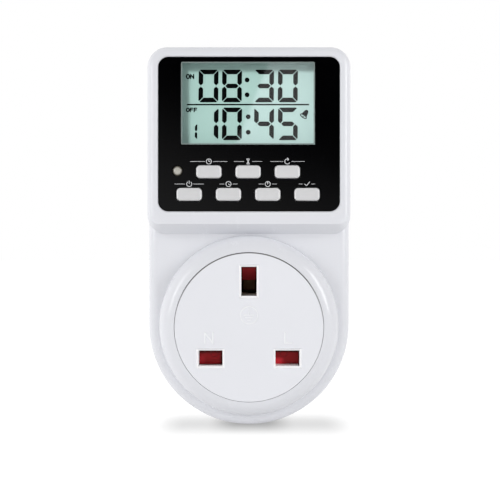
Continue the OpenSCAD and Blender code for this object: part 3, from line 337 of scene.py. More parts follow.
class Finish:
    """The nodes of a material or a world. node() adds any node: its settings are set
    first, then each of its sockets gets a value or a link."""

    def __init__(self, tree, shader="Principled BSDF", **plain):
        self.tree = tree
        self.shader = tree.nodes[shader]
        for socket, value in plain.items():
            self.shader.inputs[socket.replace("_", " ")].default_value = value

    def node(self, kind, settings=None, inputs=None, out=0):
        made = self.tree.nodes.new(kind)
        for key, value in (settings or {}).items():
            setattr(made, key, value)
        for key, value in (inputs or {}).items():
            self.join(made.inputs[key], value)
        return Wire(self, made.outputs[out])

    def join(self, socket, value):
        if isinstance(value, Wire):
            self.tree.links.new(value.socket, socket)
        elif isinstance(value, tuple) and len(value) == 3 and socket.type == "RGBA":
            socket.default_value = (*value, 1)
        else:
            socket.default_value = value

    def set(self, **links):
        for key, value in links.items():
            self.join(self.shader.inputs[key.replace("_", " ")], value)

    def surface(self, shader):
        """Another shader takes the place of the first one."""
        self.join(self.tree.nodes["Material Output"].inputs["Surface"], shader)
        self.tree.nodes.remove(self.shader)

    def split(self, vector):
        """A vector's three numbers."""
        parts = self.node("ShaderNodeSeparateXYZ", None, {0: vector}).socket.node
        return [Wire(self, socket) for socket in parts.outputs]

    def rays(self, *kinds):
        """For each kind of ray, 1 where the ray is of that kind."""
        path = self.node("ShaderNodeLightPath").socket.node
        return [Wire(self, path.outputs[f"Is {kind} Ray"]) for kind in kinds]

    def place(self, stretch=(1, 1, 1)):
        """The object's own coordinates in millimetres, drawn out along the axes."""
        here = self.node("ShaderNodeTexCoord", out="Object")
        scale = tuple(1 / (MM * s) for s in stretch)
        return self.node("ShaderNodeVectorMath", {"operation": "MULTIPLY"},
                         {0: here, 1: scale})

    def axes(self):
        """Across, out of the wall and up the wall, each as a number of millimetres."""
        across, depth, up = self.split(self.place())
        return across, depth * -1, up

    def noise(self, size, detail=2, stretch=(1, 1, 1)):
        """Noise about one size across, in millimetres, from 0 to 1."""
        return self.node("ShaderNodeTexNoise", None, {
            "Vector": self.place(stretch), "Scale": 1 / size, "Detail": detail})

    def cells(self, size, out="Distance"):
        """Distances or colours of a cell pattern about one size across."""
        return self.node("ShaderNodeTexVoronoi", None,
                         {"Vector": self.place(), "Scale": 1 / size}, out)

    def mix(self, factor, a, b):
        """A colour between a and b."""
        return self.node("ShaderNodeMix", {"data_type": "RGBA"}, {0: factor, 6: a, 7: b}, 2)

    def bump(self, *layers):
        """Bumps stacked on each other: each layer is a height from 0 to 1 and its depth
        in millimetres."""
        under = None
        for height, depth in layers:
            inputs = {"Height": height, "Distance": depth * MM, "Strength": 1.0}
            if under:
                inputs["Normal"] = under
            under = self.node("ShaderNodeBump", None, inputs)
        self.set(Normal=under)


def srgb(*parts):
    """A colour from 0 to 255 as it shows, turned into the light it sends back."""
    c = np.array(parts) / 255
    light = np.where(c <= 0.04045, c / 12.92, ((c + 0.055) / 1.055) ** 2.4)
    return tuple(float(v) for v in light)


def shade(colour, factor):
    """A colour made brighter or darker, and never brighter than white."""
    return tuple(min(1.0, c * factor) for c in colour)


finishes = {}


def begin(slot, **plain):
    """A new finish under a slot's name, with the plain values of its shader."""
    material = bpy.data.materials.new(slot)
    material.use_nodes = True
    finishes[slot] = material
    return Finish(material.node_tree, **plain)


def moulded(slot, colour, rough, grain=0.25, grain_depth=0.004, cloud=0.03, drift=0.06,
            wave=0.006, tint=None, **plain):
    """Moulded plastic: the tone clouds slowly over centimetres, the gloss drifts with the
    flow of the melt, the face waves a little, and a fine spark-eroded grain covers it.
    A tint goes over the tone where one piece is marked in a way of its own."""
    f = begin(slot, **plain)
    slow = f.noise(24)
    flow = f.noise(4.5, 3, (1, 1, 2.4))
    fine = f.noise(grain)
    tone = f.mix(slow, shade(colour, 1 - cloud), shade(colour, 1 + cloud / 3))
    f.set(Base_Color=tint(f, tone) if tint else tone,
          Roughness=(rough + (flow - 0.5) * drift + (fine - 0.5) * drift).held(0.02, 1))
    f.bump((slow, wave * 6), (flow, wave), (fine, grain_depth))


def metal(slot, colour, rough, brush, stain=0.12):
    """Drawn or rolled metal: fine lines along one axis in the gloss and the bump, and a
    slow tarnish in the tone."""
    f = begin(slot, Metallic=1.0)
    lines = f.noise(0.12, 3, brush)
    slow = f.noise(3.2, 4)
    spots = f.noise(0.7).ramp(0.62, 0.74)
    f.set(Base_Color=f.mix(slow.ramp(0.25, 0.85), colour, shade(colour, 1 - stain)),
          Roughness=(rough + (lines - 0.5) * 0.16 + slow * 0.06 + spots * 0.05).held(0.05, 1))
    f.bump((slow, 0.006), (lines, 0.003))


# How deep under a slot's bevel the painted shade on its wall begins, and where it is full
WALL_SHADE_DEPTH = {"live_slot": (0.1, 0.5), "neutral_slot": (1.8, 2.8), "earth_slot": (0.1, 1.1)}
# The flap's red where painted light brightens it
LIT_RED = srgb(247, 58, 72)


def painted_lip_light_and_shade(f, tone):
    """Painted highlight where the bevels run into the slots, and painted shadow in the seam
    round the upper half of the disc. One wall inside each slot gets painted shade: the right
    one of the live slot, and the lower one of the others."""
    across, depth, up = f.axes()
    sunk = disc.h1 - SLOT_BEVEL - depth
    for name, (x, y, half_w, half_l) in slots.items():
        off = ((across - x).size() - half_w).most((up - y).size() - half_l)
        # Painted highlight: each slot's lip is tinted near white
        tone = f.mix(1 - off.ramp(0.3, 0.75), tone, srgb(253, 253, 254))
        if name == "live_slot":
            wall = (across - x).ramp(half_w - 0.2, half_w - 0.1)
        else:
            wall = (y - up).ramp(half_l - 0.2, half_l - 0.1)
        # Painted shade on one wall inside each slot, darker deeper in
        wall_shade = sunk.ramp(*WALL_SHADE_DEPTH[name]) * wall
        tone = f.mix(wall_shade * off.ramp(0.1, 0.05) * 0.95, tone, srgb(20, 14, 14))
    # Painted shadow in the seam round the upper half of the disc
    rim = ((across**2 + up**2) ** 0.5).ramp(DISC_R - 0.3, DISC_R - 0.1)
    return f.mix(rim * up.ramp(-3, 18) * 0.85, tone, srgb(56, 48, 42))


def painted_flap_light_and_shade(f, tone):
    """What the slots show of the flap. Painted light makes it brighter low down at the left of
    the live and neutral slots, and it is a plainer red at the earth slot. Painted shade
    darkens it towards the other edges. Two ejector pins left their rings on it.
    Across a slot and up it, u and v go from -1 to 1."""
    across, _, up = f.axes()
    for name, (x, y, half_w, half_l) in slots.items():
        u, v = (across - x) / half_w, (up - y) / half_l
        near = u.size().ramp(1.3, 1.2) * v.size().ramp(1.3, 1.2)
        if name == "earth_slot":
            tone = f.mix(near, tone, srgb(184, 50, 54))
            edge_shade = u.size().ramp(0.76, 0.98).most(v.ramp(0.82, 1) * 0.8)
        elif name == "live_slot":
            # Painted light, low down at the left of the slot
            glow = (u * -1).ramp(0.05, 0.75) * (v * -1).ramp(0, 0.55)
            tone = f.mix(near * glow, tone, LIT_RED)
            edge_shade = v.ramp(0.35, 0.7).most((v * -1).ramp(0.6, 1) * u.ramp(-0.4, 0.1) * 0.5)
        else:
            glow = (u * -1).ramp(0.35, 0.8) * (v * -1).ramp(-0.4, 0.5)
            tone = f.mix(near * glow * 0.34, tone, LIT_RED)
            edge_shade = u.ramp(0.6, 0.95).most(v.ramp(0.2, 0.6) * 0.85)
        # Painted shade towards the slot's other edges
        tone = f.mix(near * edge_shade * 0.9, tone, srgb(26, 8, 8))
    off = ((across.size() - EJECTOR_X) ** 2 + (up - EJECTOR_Y) ** 2) ** 0.5
    ring = (off - EJECTOR_R).size().ramp(0.22, 0.1)
    return f.mix(ring * 0.3, tone, srgb(60, 10, 12))


def painted_cap_highlights(f, tone):
    """Painted highlight: paler along the left, right and upper edges of each key."""
    across, _, up = f.axes()
    rim = 0
    for key in keys.values():
        beside = (across - key.x).size() - (key.w / 2 - CAP_STEP)
        above = up - key.y - (key.l / 2 - CAP_STEP)
        near = beside.ramp(0.3, 0.2) * (up - key.y).size().ramp(key.l / 2, key.l / 2 - 0.1)
        rim = near * beside.ramp(-0.75, 0).most(above.ramp(-0.5, 0) * 0.5) + rim
    # Painted highlight along each cap's rim
    return f.mix(rim * 0.8, tone, srgb(242, 242, 242))


def parting_line(f, tone):
    """The two housings meet in a fine line that holds a little dust."""
    _, depth, _ = f.axes()
    seam = 1 - (depth - SPLIT_H).size().ramp(0.08, 0.22)
    return f.mix(seam * (0.5 + f.noise(3) * 0.4), tone, srgb(96, 98, 104))


moulded("shell_white", srgb(228, 229, 234), 0.26, tint=parting_line)
moulded("disc_white", srgb(234, 235, 240), 0.36, grain=0.18, cloud=0.02, tint=painted_lip_light_and_shade)
# The raised letters are paler than the disc they stand on: a painted highlight on the relief
moulded("letter_white", srgb(243, 244, 247), 0.3, grain=0.18, cloud=0.01)
moulded("key_grey", srgb(212, 212, 213), 0.42, grain=0.1, grain_depth=0.003, drift=0.1,
        tint=painted_cap_highlights)
moulded("shutter_red", srgb(160, 28, 33), 0.34, grain=0.3, cloud=0.1, drift=0.1,
        tint=painted_flap_light_and_shade, Specular_IOR_Level=0.12)
moulded("plunger_black", srgb(30, 30, 32), 0.4)
moulded("switch_case", srgb(48, 48, 52), 0.5)
moulded("holder_white", srgb(224, 224, 220), 0.5)
moulded("strip_rubber", srgb(190, 96, 108), 0.65, wave=0.02)
moulded("header_cream", srgb(228, 226, 212), 0.45)
moulded("relay_case", srgb(28, 44, 84), 0.3, wave=0.012)
moulded("film_yellow", srgb(214, 186, 52), 0.28, wave=0.03)
moulded("surge_blue", srgb(36, 74, 150), 0.36, wave=0.06, grain=0.6, grain_depth=0.02)
moulded("carrier_cream", srgb(226, 223, 208), 0.5)
moulded("clamp_cream", srgb(220, 217, 202), 0.52)
moulded("sleeve_black", srgb(26, 26, 27), 0.46, grain=0.14, grain_depth=0.008, drift=0.12)

metal("crystal_can", srgb(190, 192, 196), 0.26, (1, 1, 1))
metal("cell_steel", srgb(186, 188, 190), 0.28, (6, 1, 1))
metal("tab_nickel", srgb(196, 194, 186), 0.3, (1, 1, 8))
metal("spring_steel", srgb(168, 170, 174), 0.25, (1, 1, 6))
metal("contact_brass", srgb(118, 92, 66), 0.36, (1, 8, 1), stain=0.3)
metal("strap_brass", srgb(210, 172, 96), 0.34, (1, 1, 8))
metal("pin_brass", srgb(214, 180, 108), 0.24, (1, 14, 1), stain=0.18)
metal("screw_zinc", srgb(184, 187, 194), 0.3, (1, 1, 1), stain=0.2)


def black_panel():
    """Back-painted smoked acrylic: deep black, hard gloss, with faint polishing hairlines
    and a few dust specks that dull it."""
    f = begin("panel_black", IOR=1.49)
    hair = f.noise(0.05, stretch=(26, 1, 1))
    specks = f.cells(2.6).ramp(0.05, 0.02)
    slow = f.noise(18)
    f.set(Base_Color=f.mix(specks * 0.1, srgb(2, 2, 3), srgb(60, 60, 60)),
          Roughness=(0.05 + hair * 0.02 + specks * 0.2 + slow * 0.015).held(0.02, 1))
    f.bump((slow, 0.02), (hair, 0.0004))


def clear_window():
    """Clear polycarbonate: what is behind shows through, and only the outer faces shine,
    more as the light grazes them. Long moulding waves and fine wiping hairlines."""
    f = begin("window_clear")
    hair = f.noise(0.06, stretch=(1, 1, 20))
    wave = f.node("ShaderNodeBump", None, {
        "Height": f.noise(9) + hair * 0.01, "Distance": 0.006 * MM, "Strength": 1.0})
    through = f.node("ShaderNodeBsdfTransparent", None, {"Color": srgb(246, 250, 249)})
    outside = 1 - f.node("ShaderNodeNewGeometry", out="Backfacing")
    shine = f.node("ShaderNodeFresnel", None, {"IOR": 1.5}) * outside
    mirror = f.node("ShaderNodeBsdfGlossy", None, {
        "Color": (1, 1, 1), "Roughness": 0.03, "Normal": wave})
    f.surface(f.node("ShaderNodeMixShader", None, {0: shine, 1: through, 2: mirror}))


def display_glass():
    """The reflective back of a liquid crystal cell: pale green, with a fine sparkle from
    the foil, a tone that drifts a little from corner to corner, and a painted sheen that
    pales it to the right of a leaning line."""
    f = begin("display_glass", IOR=1.5)
    foil = f.noise(0.16, 3)
    slow = f.noise(16, 1)
    across, _, up = f.axes()
    # Painted sheen: paler to the right of a leaning line
    pale = (across - (up - glass.y) * 0.4).ramp(-0.3, 2.1)
    base = f.mix(pale, f.mix(slow, srgb(181, 202, 198), srgb(187, 208, 204)),
                 f.mix(slow, srgb(203, 217, 217), srgb(210, 223, 223)))
    f.set(Base_Color=f.mix(foil.ramp(0.35, 0.65) * 0.5, base, srgb(178, 202, 196)),
          Roughness=(0.36 + foil * 0.12).held())
    f.bump((foil, 0.003))


def display_ink():
    """Switched-on crystal: near black with a trace of blue, slightly uneven."""
    f = begin("display_ink", Specular_IOR_Level=0.1)
    fine = f.noise(0.2)
    f.set(Base_Color=f.mix(fine, srgb(1, 1, 2), srgb(5, 5, 6)),
          Roughness=0.55 + fine * 0.1)
    f.bump((fine, 0.001))


def marking_white():
    """Screen-printed white: an opaque matt film, a little uneven in tone."""
    f = begin("marking_white")
    fine = f.noise(0.12, 3)
    f.set(Base_Color=f.mix(fine.ramp(0.3, 0.7), srgb(206, 207, 209), srgb(226, 227, 229)),
          Roughness=0.5 + fine * 0.15)
    f.bump((fine, 0.004))


def cut_edge():
    """The polished saw cut round the window: dull grey-green, with fine marks."""
    f = begin("cut_edge")
    fine = f.noise(0.1)
    f.set(Base_Color=f.mix(fine, srgb(120, 132, 129), srgb(138, 150, 147)),
          Roughness=0.4 + fine * 0.2)
    f.bump((fine, 0.003))


def lamp_lens():
    """The frosted dome of an unlit lamp: pale warm grey, with painted shade that darkens it
    towards its rim, and a soft gloss."""
    f = begin("lamp_lens", IOR=1.5, Coat_Weight=0.4, Coat_Roughness=0.1)
    lamp = Reach("indicator_led")
    across, _, up = f.axes()
    off = ((across - lamp.x) ** 2 + (up - lamp.y) ** 2) ** 0.5
    haze = f.noise(0.3, 3)
    # Painted shade of the dome, darker towards its rim
    rim = off.ramp(0.75, 1.3)
    f.set(Base_Color=f.mix(rim, f.mix(haze, srgb(176, 173, 164), srgb(190, 187, 178)),
                           srgb(96, 92, 82)),
          Roughness=(0.22 + haze * 0.14).held())
    f.bump((haze, 0.006))


def board_green():
    """Glass-fibre board under green lacquer: parallel copper tracks, half a pitch apart,
    that turn from block to block, tinned pads a pitch apart, and the weave faint beneath."""
    f = begin("board_green", IOR=1.5)
    pitch = 2.54
    across, _, up = f.axes()
    turned = f.cells(7, "Color") > 0.5
    run = turned * across + (1 - turned) * up
    tracks = ((run / (pitch / 2)).fract() - 0.5).size() < 0.16
    pads = f.cells(pitch).ramp(0.2, 0.15)
    weave = f.node("ShaderNodeTexChecker", None, {"Vector": f.place(), "Scale": 2.2}, "Fac")
    lacquer = f.mix(weave * 0.12, srgb(20, 84, 44), srgb(34, 104, 58))
    f.set(Base_Color=f.mix(pads, f.mix(tracks * 0.7, lacquer, srgb(46, 128, 66)),
                           srgb(196, 196, 188)),
          Metallic=pads * 0.9,
          Roughness=(0.28 + pads * 0.1 + f.noise(1.2) * 0.1).held())
    f.bump((weave, 0.004), (tracks, 0.02), (pads, 0.03))


def chip_black():
    """Moulding compound of a chip: matt charcoal, full of fine filler."""
    f = begin("chip_black")
    filler = f.noise(0.09, 3)
    f.set(Base_Color=f.mix(filler, srgb(30, 30, 32), srgb(44, 44, 46)),
          Roughness=0.55 + filler * 0.2)
    f.bump((filler, 0.008))


def ribbon_grey():
    """Flat ribbon: parallel sheathed wires a millimetre apart, with one marked edge, and
    painted shade darker in the valleys between the wires.
    """
    f = begin("ribbon_grey", IOR=1.46)
    ribbon = Reach("ribbon_cable")
    across, _, _ = f.axes()
    wire = (across.fract() - 0.5).size() * 2
    edge = across < ribbon.x0 + 1
    # Painted shade: each wire is lighter along its middle, darker towards its neighbours
    f.set(Base_Color=f.mix(edge, f.mix(wire, srgb(158, 160, 164), srgb(116, 118, 122)),
                           srgb(170, 52, 48)),
          Roughness=0.42 + f.noise(0.8) * 0.12)
    f.bump(((1 - wire**2) ** 0.5, 0.3))


def sleeve_dark():
    """Shrunk sleeving on the capacitors: glossy dark blue with a paler stripe down the
    negative side, and faint shrink lines."""
    f = begin("sleeve_dark", IOR=1.5)
    cans = Reach("smoothing_capacitors")
    across, _, _ = f.axes()
    stripe = (across - (cans.x0 + 1.4)).size() < 1.2
    lines = f.noise(0.3, stretch=(1, 5, 1))
    f.set(Base_Color=f.mix(stripe * 0.85, srgb(24, 32, 58), srgb(190, 194, 200)),
          Roughness=(0.24 + lines * 0.12).held())
    f.bump((lines, 0.01))


def diode_black():
    """Epoxy diode bodies, with a silver band at one end."""
    f = begin("diode_black")
    row = Reach("diodes")
    across, _, _ = f.axes()
    band = (across - (row.x1 - 0.9)).size() < 0.35
    fine = f.noise(0.1)
    f.set(Base_Color=f.mix(band, srgb(24, 24, 25), srgb(188, 188, 186)),
          Roughness=0.35 + fine * 0.15)
    f.bump((fine, 0.004))


for finish in (black_panel, clear_window, display_glass, display_ink, marking_white, cut_edge,
               lamp_lens, board_green, chip_black, ribbon_grey, sleeve_dark, diode_black):
    finish()

for part in frame["record"]["subparts"]:
    shown = nodes[part["node"]]
    shown.data.materials.clear()
    shown.data.materials.append(finishes[part["material_slot"]])

# ---------------------------------------------------------------- display figures

# The bars that each digit lights, by their usual letters
BARS = {"0": "abcdef", "1": "bc", "3": "abgcd", "4": "fgbc", "5": "afgcd", "8": "abcdefg"}
# A figure's and the small count's width, length, thickness of the bars, gap and chop
FIGURE = {"w": 5.84, "l": 9.6, "t": 1.34, "gap": 0.2, "chop": 0.42}
COUNT = {"w": 2.12, "l": 4.7, "t": 0.72, "gap": 0.1, "chop": 0.2}
LEAN = 0.012
# How high the ink stands, and how wide its soft edge is
INK, INK_EDGE = 0.04, 0.01

# Where the figures' lower left corners, the dots between them, the rule and the words lie
FIGURE_X = [-14.86, -7.94, 1.5, 8.54]
UPPER_Y, LOWER_Y = window.y + 0.9, window.y - 10.27
COUNT_X, COUNT_Y = -17.38, LOWER_Y + 0.17
COLONS = [(-0.56, UPPER_Y + 6.58), (-0.56, UPPER_Y + 2.2),
          (-0.22, LOWER_Y + 6.9), (-0.22, LOWER_Y + 2.33)]
COLON_R = 0.7
RULE_X0, RULE_X1, RULE_Y, RULE_T = -18.3, 17.7, window.y + 0.21, 0.42
WORD_X = -18.43


def bar_outlines(w, l, t, gap, chop):
    """The seven bars of a figure w wide, l high and t thick. Neighbours meet on lines at
    45 degrees, a gap apart, and the figure's outer corners are chopped off."""
    s = gap / math.sqrt(2)
    m = l / 2
    a = [(s + chop, l), (w - s - chop, l), (w - s - chop / 2, l - chop / 2),
         (w - t - s, l - t), (t + s, l - t), (s + chop / 2, l - chop / 2)]
    b = [(w, l - s - chop), (w, m + t / 2 + s), (w - t / 2, m + s), (w - t, m + t / 2 + s),
         (w - t, l - t - s), (w - chop / 2, l - s - chop / 2)]
    g = [(t / 2 + 2 * s, m), (t + s + s, m - t / 2), (w - t - s - s, m - t / 2),
         (w - t / 2 - 2 * s, m), (w - t - s - s, m + t / 2), (t + s + s, m + t / 2)]

    def flip(points, over_x, over_y):
        return [(w - x if over_x else x, l - y if over_y else y) for x, y in points]

    return {"a": a, "b": b, "c": flip(b, 0, 1), "d": flip(a, 0, 1), "e": flip(b, 1, 1),
            "f": flip(b, 1, 0), "g": g}


def figure(digit, x, y, w, l, t, gap, chop):
    """One seven-bar figure with its lower left corner at x, y, leaning a little: a point
    moves across by LEAN times its height above the middle."""
    outlines = bar_outlines(w, l, t, gap, chop)
    made = []
    for bar in BARS[digit]:
        at = rounded(outlines[bar], 0.05 * t)
        at[:, 0] += LEAN * (at[:, 1] - l / 2)
        made.append(raised(at + (x, y), glass.h1, INK, INK_EDGE))
    return made


def dot(x, y, r):
    """A round dot of ink."""
    return raised(circle(x, y, r), glass.h1, INK, INK_EDGE)


# The strokes of plain capitals in a square of side 1, and the next letter's step in widths
CAPITALS = {
    "O": [circle(0.5, 0.5, 0.5)],
    "N": [line((0, 0), (0, 1)), line((0, 1), (1, 0)), line((1, 0), (1, 1))],
    "F": [line((0, 0), (0, 1)), line((0, 1), (0.9, 1)), line((0, 0.5), (0.75, 0.5))],
    "L": [line((0, 1), (0, 0)), line((0, 0), (0.9, 0))],
}
LETTER_STEP = 1.42


def letters(word, x, y, w, l, half, base, rise):
    """Plain capitals w wide and l high drawn as strokes, side by side from x on."""
    return [stroke(path * (w, l) + (x + i * w * LETTER_STEP, y), half, rise, base,
                   closed=letter == "O")
            for i, letter in enumerate(word) for path in CAPITALS[letter]]


def bell(x, y, size, tilt):
    """A small bell about x, y, tipped over. Along its axis t from the crown to the mouth
    its half width is a quarter ellipse that becomes a cylinder half way, plus a flare by
    the fourth power of t. The dome ends on the rim of an open oval mouth with a clapper."""
    t = np.linspace(0, 1, 18)
    half = 0.32 * np.sqrt(1 - (1 - np.minimum(2 * t, 1)) ** 2) + 0.2 * t**4
    side = np.stack([half, 0.5 - t], -1)
    rim = np.radians(np.linspace(0, 180, 14))[1:-1]
    upper = np.stack([0.52 * np.cos(rim), -0.5 + 0.12 * np.sin(rim)], -1)
    dome = np.concatenate([side, upper, side[::-1] * (-1, 1)])
    whole = np.radians(np.arange(0, 360, 15))
    mouth = np.stack([0.48 * np.cos(whole), -0.52 + 0.18 * np.sin(whole)], -1)
    clapper = np.array([(0, -0.58)])
    c, s = math.cos(tilt), math.sin(tilt)
    turn = np.array([[c, s], [-s, c]])
    dome, mouth, clapper = (path @ turn * size + (x, y) for path in (dome, mouth, clapper))
    return [raised(dome, glass.h1, INK, INK_EDGE),
            stroke(mouth, 0.14, INK, glass.h1, closed=True), dot(*clapper[0], r=0.17)]


upper = [bar for d, x in zip("0830", FIGURE_X) for bar in figure(d, x, UPPER_Y, **FIGURE)]
lower = [bar for d, x in zip("1045", FIGURE_X) for bar in figure(d, x, LOWER_Y, **FIGURE)]
colons = [dot(x, y, COLON_R) for x, y in COLONS]
count = figure("1", COUNT_X, COUNT_Y, **COUNT)
rule = np.array([(RULE_X0, 0), (RULE_X1, 0), (RULE_X1, RULE_T), (RULE_X0, RULE_T)])
legends = [raised(rule + (0, RULE_Y - RULE_T / 2), glass.h1, INK, INK_EDGE)]
legends += letters("ON", WORD_X, window.y + 7.91, w=0.87, l=1.18, half=0.19,
                   base=glass.h1, rise=INK)
legends += letters("OFF", WORD_X, window.y - 1.85, w=0.8, l=1.0, half=0.18,
                   base=glass.h1, rise=INK)
legends += bell(16.67, window.y - 2.3, size=2.15, tilt=-0.6)

display = [nodes["lcd_glass"],
           piece("display_figures", joined(upper + lower + colons + count), "display_ink",
                 crease=20),
           piece("display_legends", joined(legends), "display_ink", crease=20)]

# The sawn edge is a strip, twice EDGE wide, that stands just proud of the window's face
EDGE, EDGE_R, EDGE_RISE = 0.15, 0.35, 0.02
frame_line, _ = plate_outline(window.w - 2 * EDGE, window.l - 2 * EDGE, EDGE_R)
piece("window_edge", stroke(frame_line + (window.x, window.y), EDGE, EDGE_RISE,
                            window.h1 + 0.005, closed=True), "cut_edge")

# ---------------------------------------------------------------- marks above the keys

# How wide each mark is with its rules, how far above its key's middle it lies, the radius
# of its sign, the gap from there to the rules, the half widths of the sign's lines and of
# the rules, and how high the print stands
MARK_W = {"timing": 10.7, "countdown": 8.1, "cycle": 9.9, "mode": 8.4, "hour": 5.2,
          "minute": 5.2, "enter": 4.6}
MARK_UP = 3.02
MARK_R, MARK_GAP = 0.74, 0.5
SIGN_HALF, RULE_HALF = 0.1, 0.06
PRINT = 0.03
CLOCKS = ("timing", "hour", "minute")


def symbol(kind, x, y):
    """A plain sign of the key's task, as open paths about x, y."""
    r = MARK_R

    def hand(angle, reach):
        return line((x, y), (x + reach * r * math.cos(angle), y + reach * r * math.sin(angle)))

    return {
        "timing": [hand(math.pi / 2, 0.62), hand(0, 0.45)],
        "countdown": [line((x - 0.4, y + r), (x + 0.4, y + r), (x - 0.4, y - r),
                           (x + 0.4, y - r), (x - 0.4, y + r))],
        "cycle": [arc(x, y, r, 60, 330),
                  line((x + 0.02, y + r + 0.28), (x + 0.42, y + r - 0.14),
                       (x + 0.06, y + r - 0.42))],
        "mode": [arc(x, y, r, 130, 410), line((x, y + 0.1), (x, y + r + 0.14))],
        "hour": [hand(-0.6, 0.5)],
        "minute": [hand(math.pi / 2, 0.78)],
        "enter": [line((x - 0.7, y), (x - 0.15, y - 0.5), (x + 0.75, y + 0.6))],
    }[kind]


def key_mark(kind):
    """A sign between two fine rules, printed above its key. A clock has a ring round it."""
    key = keys[kind]
    y = key.y + MARK_UP
    shapes = []
    if kind in CLOCKS:
        shapes.append(stroke(circle(key.x, y, MARK_R), SIGN_HALF, PRINT, panel.h1, closed=True))
    shapes += [stroke(path, SIGN_HALF, PRINT, panel.h1) for path in symbol(kind, key.x, y)]
    for side in (-1, 1):
        near, far = key.x + side * (MARK_R + MARK_GAP), key.x + side * MARK_W[kind] / 2
        shapes.append(stroke(line((near, y), (far, y)), RULE_HALF, PRINT, panel.h1))
    piece(kind + "_mark", joined(shapes), "marking_white")


for kind in keys:
    key_mark(kind)

# ---------------------------------------------------------------- key caps

# The radii of a cap's corners and of its rolled edge, and the rise of its crown
CAP_R, CAP_ROLL, CAP_CROWN = 1.1, 0.55, 0.16
FLANGE_T = 0.8
STEM_W, STEM_R, STEM_L = 2.6, 1.29, 1.2


def key_cap(kind):
    """A key with a soft top: its outline goes straight up from the flange, rolls over a
    quarter round, and the top crowns by the square of the distance from the middle. A
    round stem stands inside its foot."""
    key = keys[kind]
    edge, out = plate_outline(key.w - 2 * CAP_STEP, key.l - 2 * CAP_STEP, CAP_R)
    flange, _ = plate_outline(key.w, key.l, CAP_R)
    stem, _ = plate_outline(STEM_W, STEM_W, STEM_R)
    shelf, top = key.h0 + FLANGE_T, key.h1 - CAP_CROWN
    levels = [(flange, key.h0), (flange, shelf), (edge, shelf)]
    levels += [(edge - out * CAP_ROLL * (1 - math.cos(a)),
                top - CAP_ROLL + CAP_ROLL * math.sin(a))
               for a in np.linspace(0, math.pi / 2, 8)]
    last = edge - out * CAP_ROLL
    levels += [(last * s, top + CAP_CROWN * (1 - s**2)) for s in (0.75, 0.5, 0.25, 0.08)]
    shapes = [stack(levelled(levels, key.x, key.y)),
              stack(levelled([(stem, key.h0), (stem, key.h0 + STEM_L)], key.x, key.y))]
    piece(kind + "_cap", joined(shapes), "key_grey", kind + "_key", [kind + "_button"])


for kind in keys:
    key_cap(kind)

# ---------------------------------------------------------------- marks on the socket

RELIEF = 0.14
LETTER_Y, LETTER_L, LETTER_HALF = -4.5, 2.9, 0.26
relief = [shape for letter, x, w in (("N", -12.7, 2.3), ("L", 10.3, 2.1))
          for shape in letters(letter, x, LETTER_Y, w, LETTER_L, LETTER_HALF, disc.h1, RELIEF)]

# The earth sign: a ring, a stem down to its middle, and three bars, each shorter and lower
EARTH_Y, EARTH_R, EARTH_STEM = 3.5, 2.5, 1.7
RING_HALF, BAR_HALF = 0.18, 0.15
relief.append(stroke(arc(0, EARTH_Y, EARTH_R, 0, 352, 40), RING_HALF, RELIEF, disc.h1,
                     closed=True))
relief.append(stroke(line((0, EARTH_Y + EARTH_STEM), (0, EARTH_Y)), BAR_HALF, RELIEF, disc.h1))
for half, drop in ((1.4, 0), (0.95, 0.7), (0.45, 1.4)):
    bar = line((-half, EARTH_Y - drop), (half, EARTH_Y - drop))
    relief.append(stroke(bar, BAR_HALF, RELIEF, disc.h1))
piece("socket_letters", joined(relief), "letter_white")

EJECTOR_HALF, EJECTOR_RISE = 0.1, 0.05
rings = [stroke(circle(x, EJECTOR_Y, EJECTOR_R), EJECTOR_HALF, EJECTOR_RISE, flap.h1,
                closed=True)
         for x in (-EJECTOR_X, EJECTOR_X)]
piece("shutter_marks", joined(rings), "shutter_red", "shutter")

# ---------------------------------------------------------------- shutter's return spring

# The coil's turns, its wire's radius and how much of a turn lies flat at each end
TURNS, WIRE_R, CLOSED = 6, 0.2, 0.8


def return_coil():
    """Wire wound about an upright axis. From turn to turn the angle grows evenly, and the
    height stays level over the flat part at each end and climbs evenly between them.
    At b round the wire, a point is off its middle by WIRE_R times the cosine of b outwards
    and by WIRE_R times the sine of b upwards."""
    coil = Reach("shutter_spring")
    turn = np.linspace(0, TURNS, TURNS * 20 + 1)[:, None]
    b = np.radians(np.arange(0, 360, 30))[None, :]
    climb = np.clip((turn - CLOSED) / (TURNS - 2 * CLOSED), 0, 1)
    a, r = 2 * math.pi * turn, coil.w / 2 - WIRE_R + WIRE_R * np.cos(b)
    rings = stand(coil.x + r * np.cos(a),
                  coil.y0 + WIRE_R + (coil.l - 2 * WIRE_R) * climb + WIRE_R * np.sin(b),
                  (coil.h0 + coil.h1) / 2 + r * np.sin(a))
    made = piece("return_coil", stack(rings), "spring_steel", replaced=["shutter_spring"])
    travel = next(j["range_m"][1] for j in frame["joints"] if j["name"] == "shutter_slide")
    1 - travel / (coil.l * MM)
    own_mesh(made)


return_coil()

# ---------------------------------------------------------------- floor and sky

FLOOR_HALF = 3.0
FLOOR_GLOW = 0.15


def stage_plane(name, half, z):
    """A square that belongs to the stage, level at z, in metres."""
    mesh = bpy.data.meshes.new(name)
    corners = [(-half, -half, z), (half, -half, z), (half, half, z), (-half, half, z)]
    mesh.from_pydata(corners, [], [(0, 1, 2, 3)])
    made = bpy.data.objects.new(name, mesh)
    scene.collection.objects.link(made)
    return made


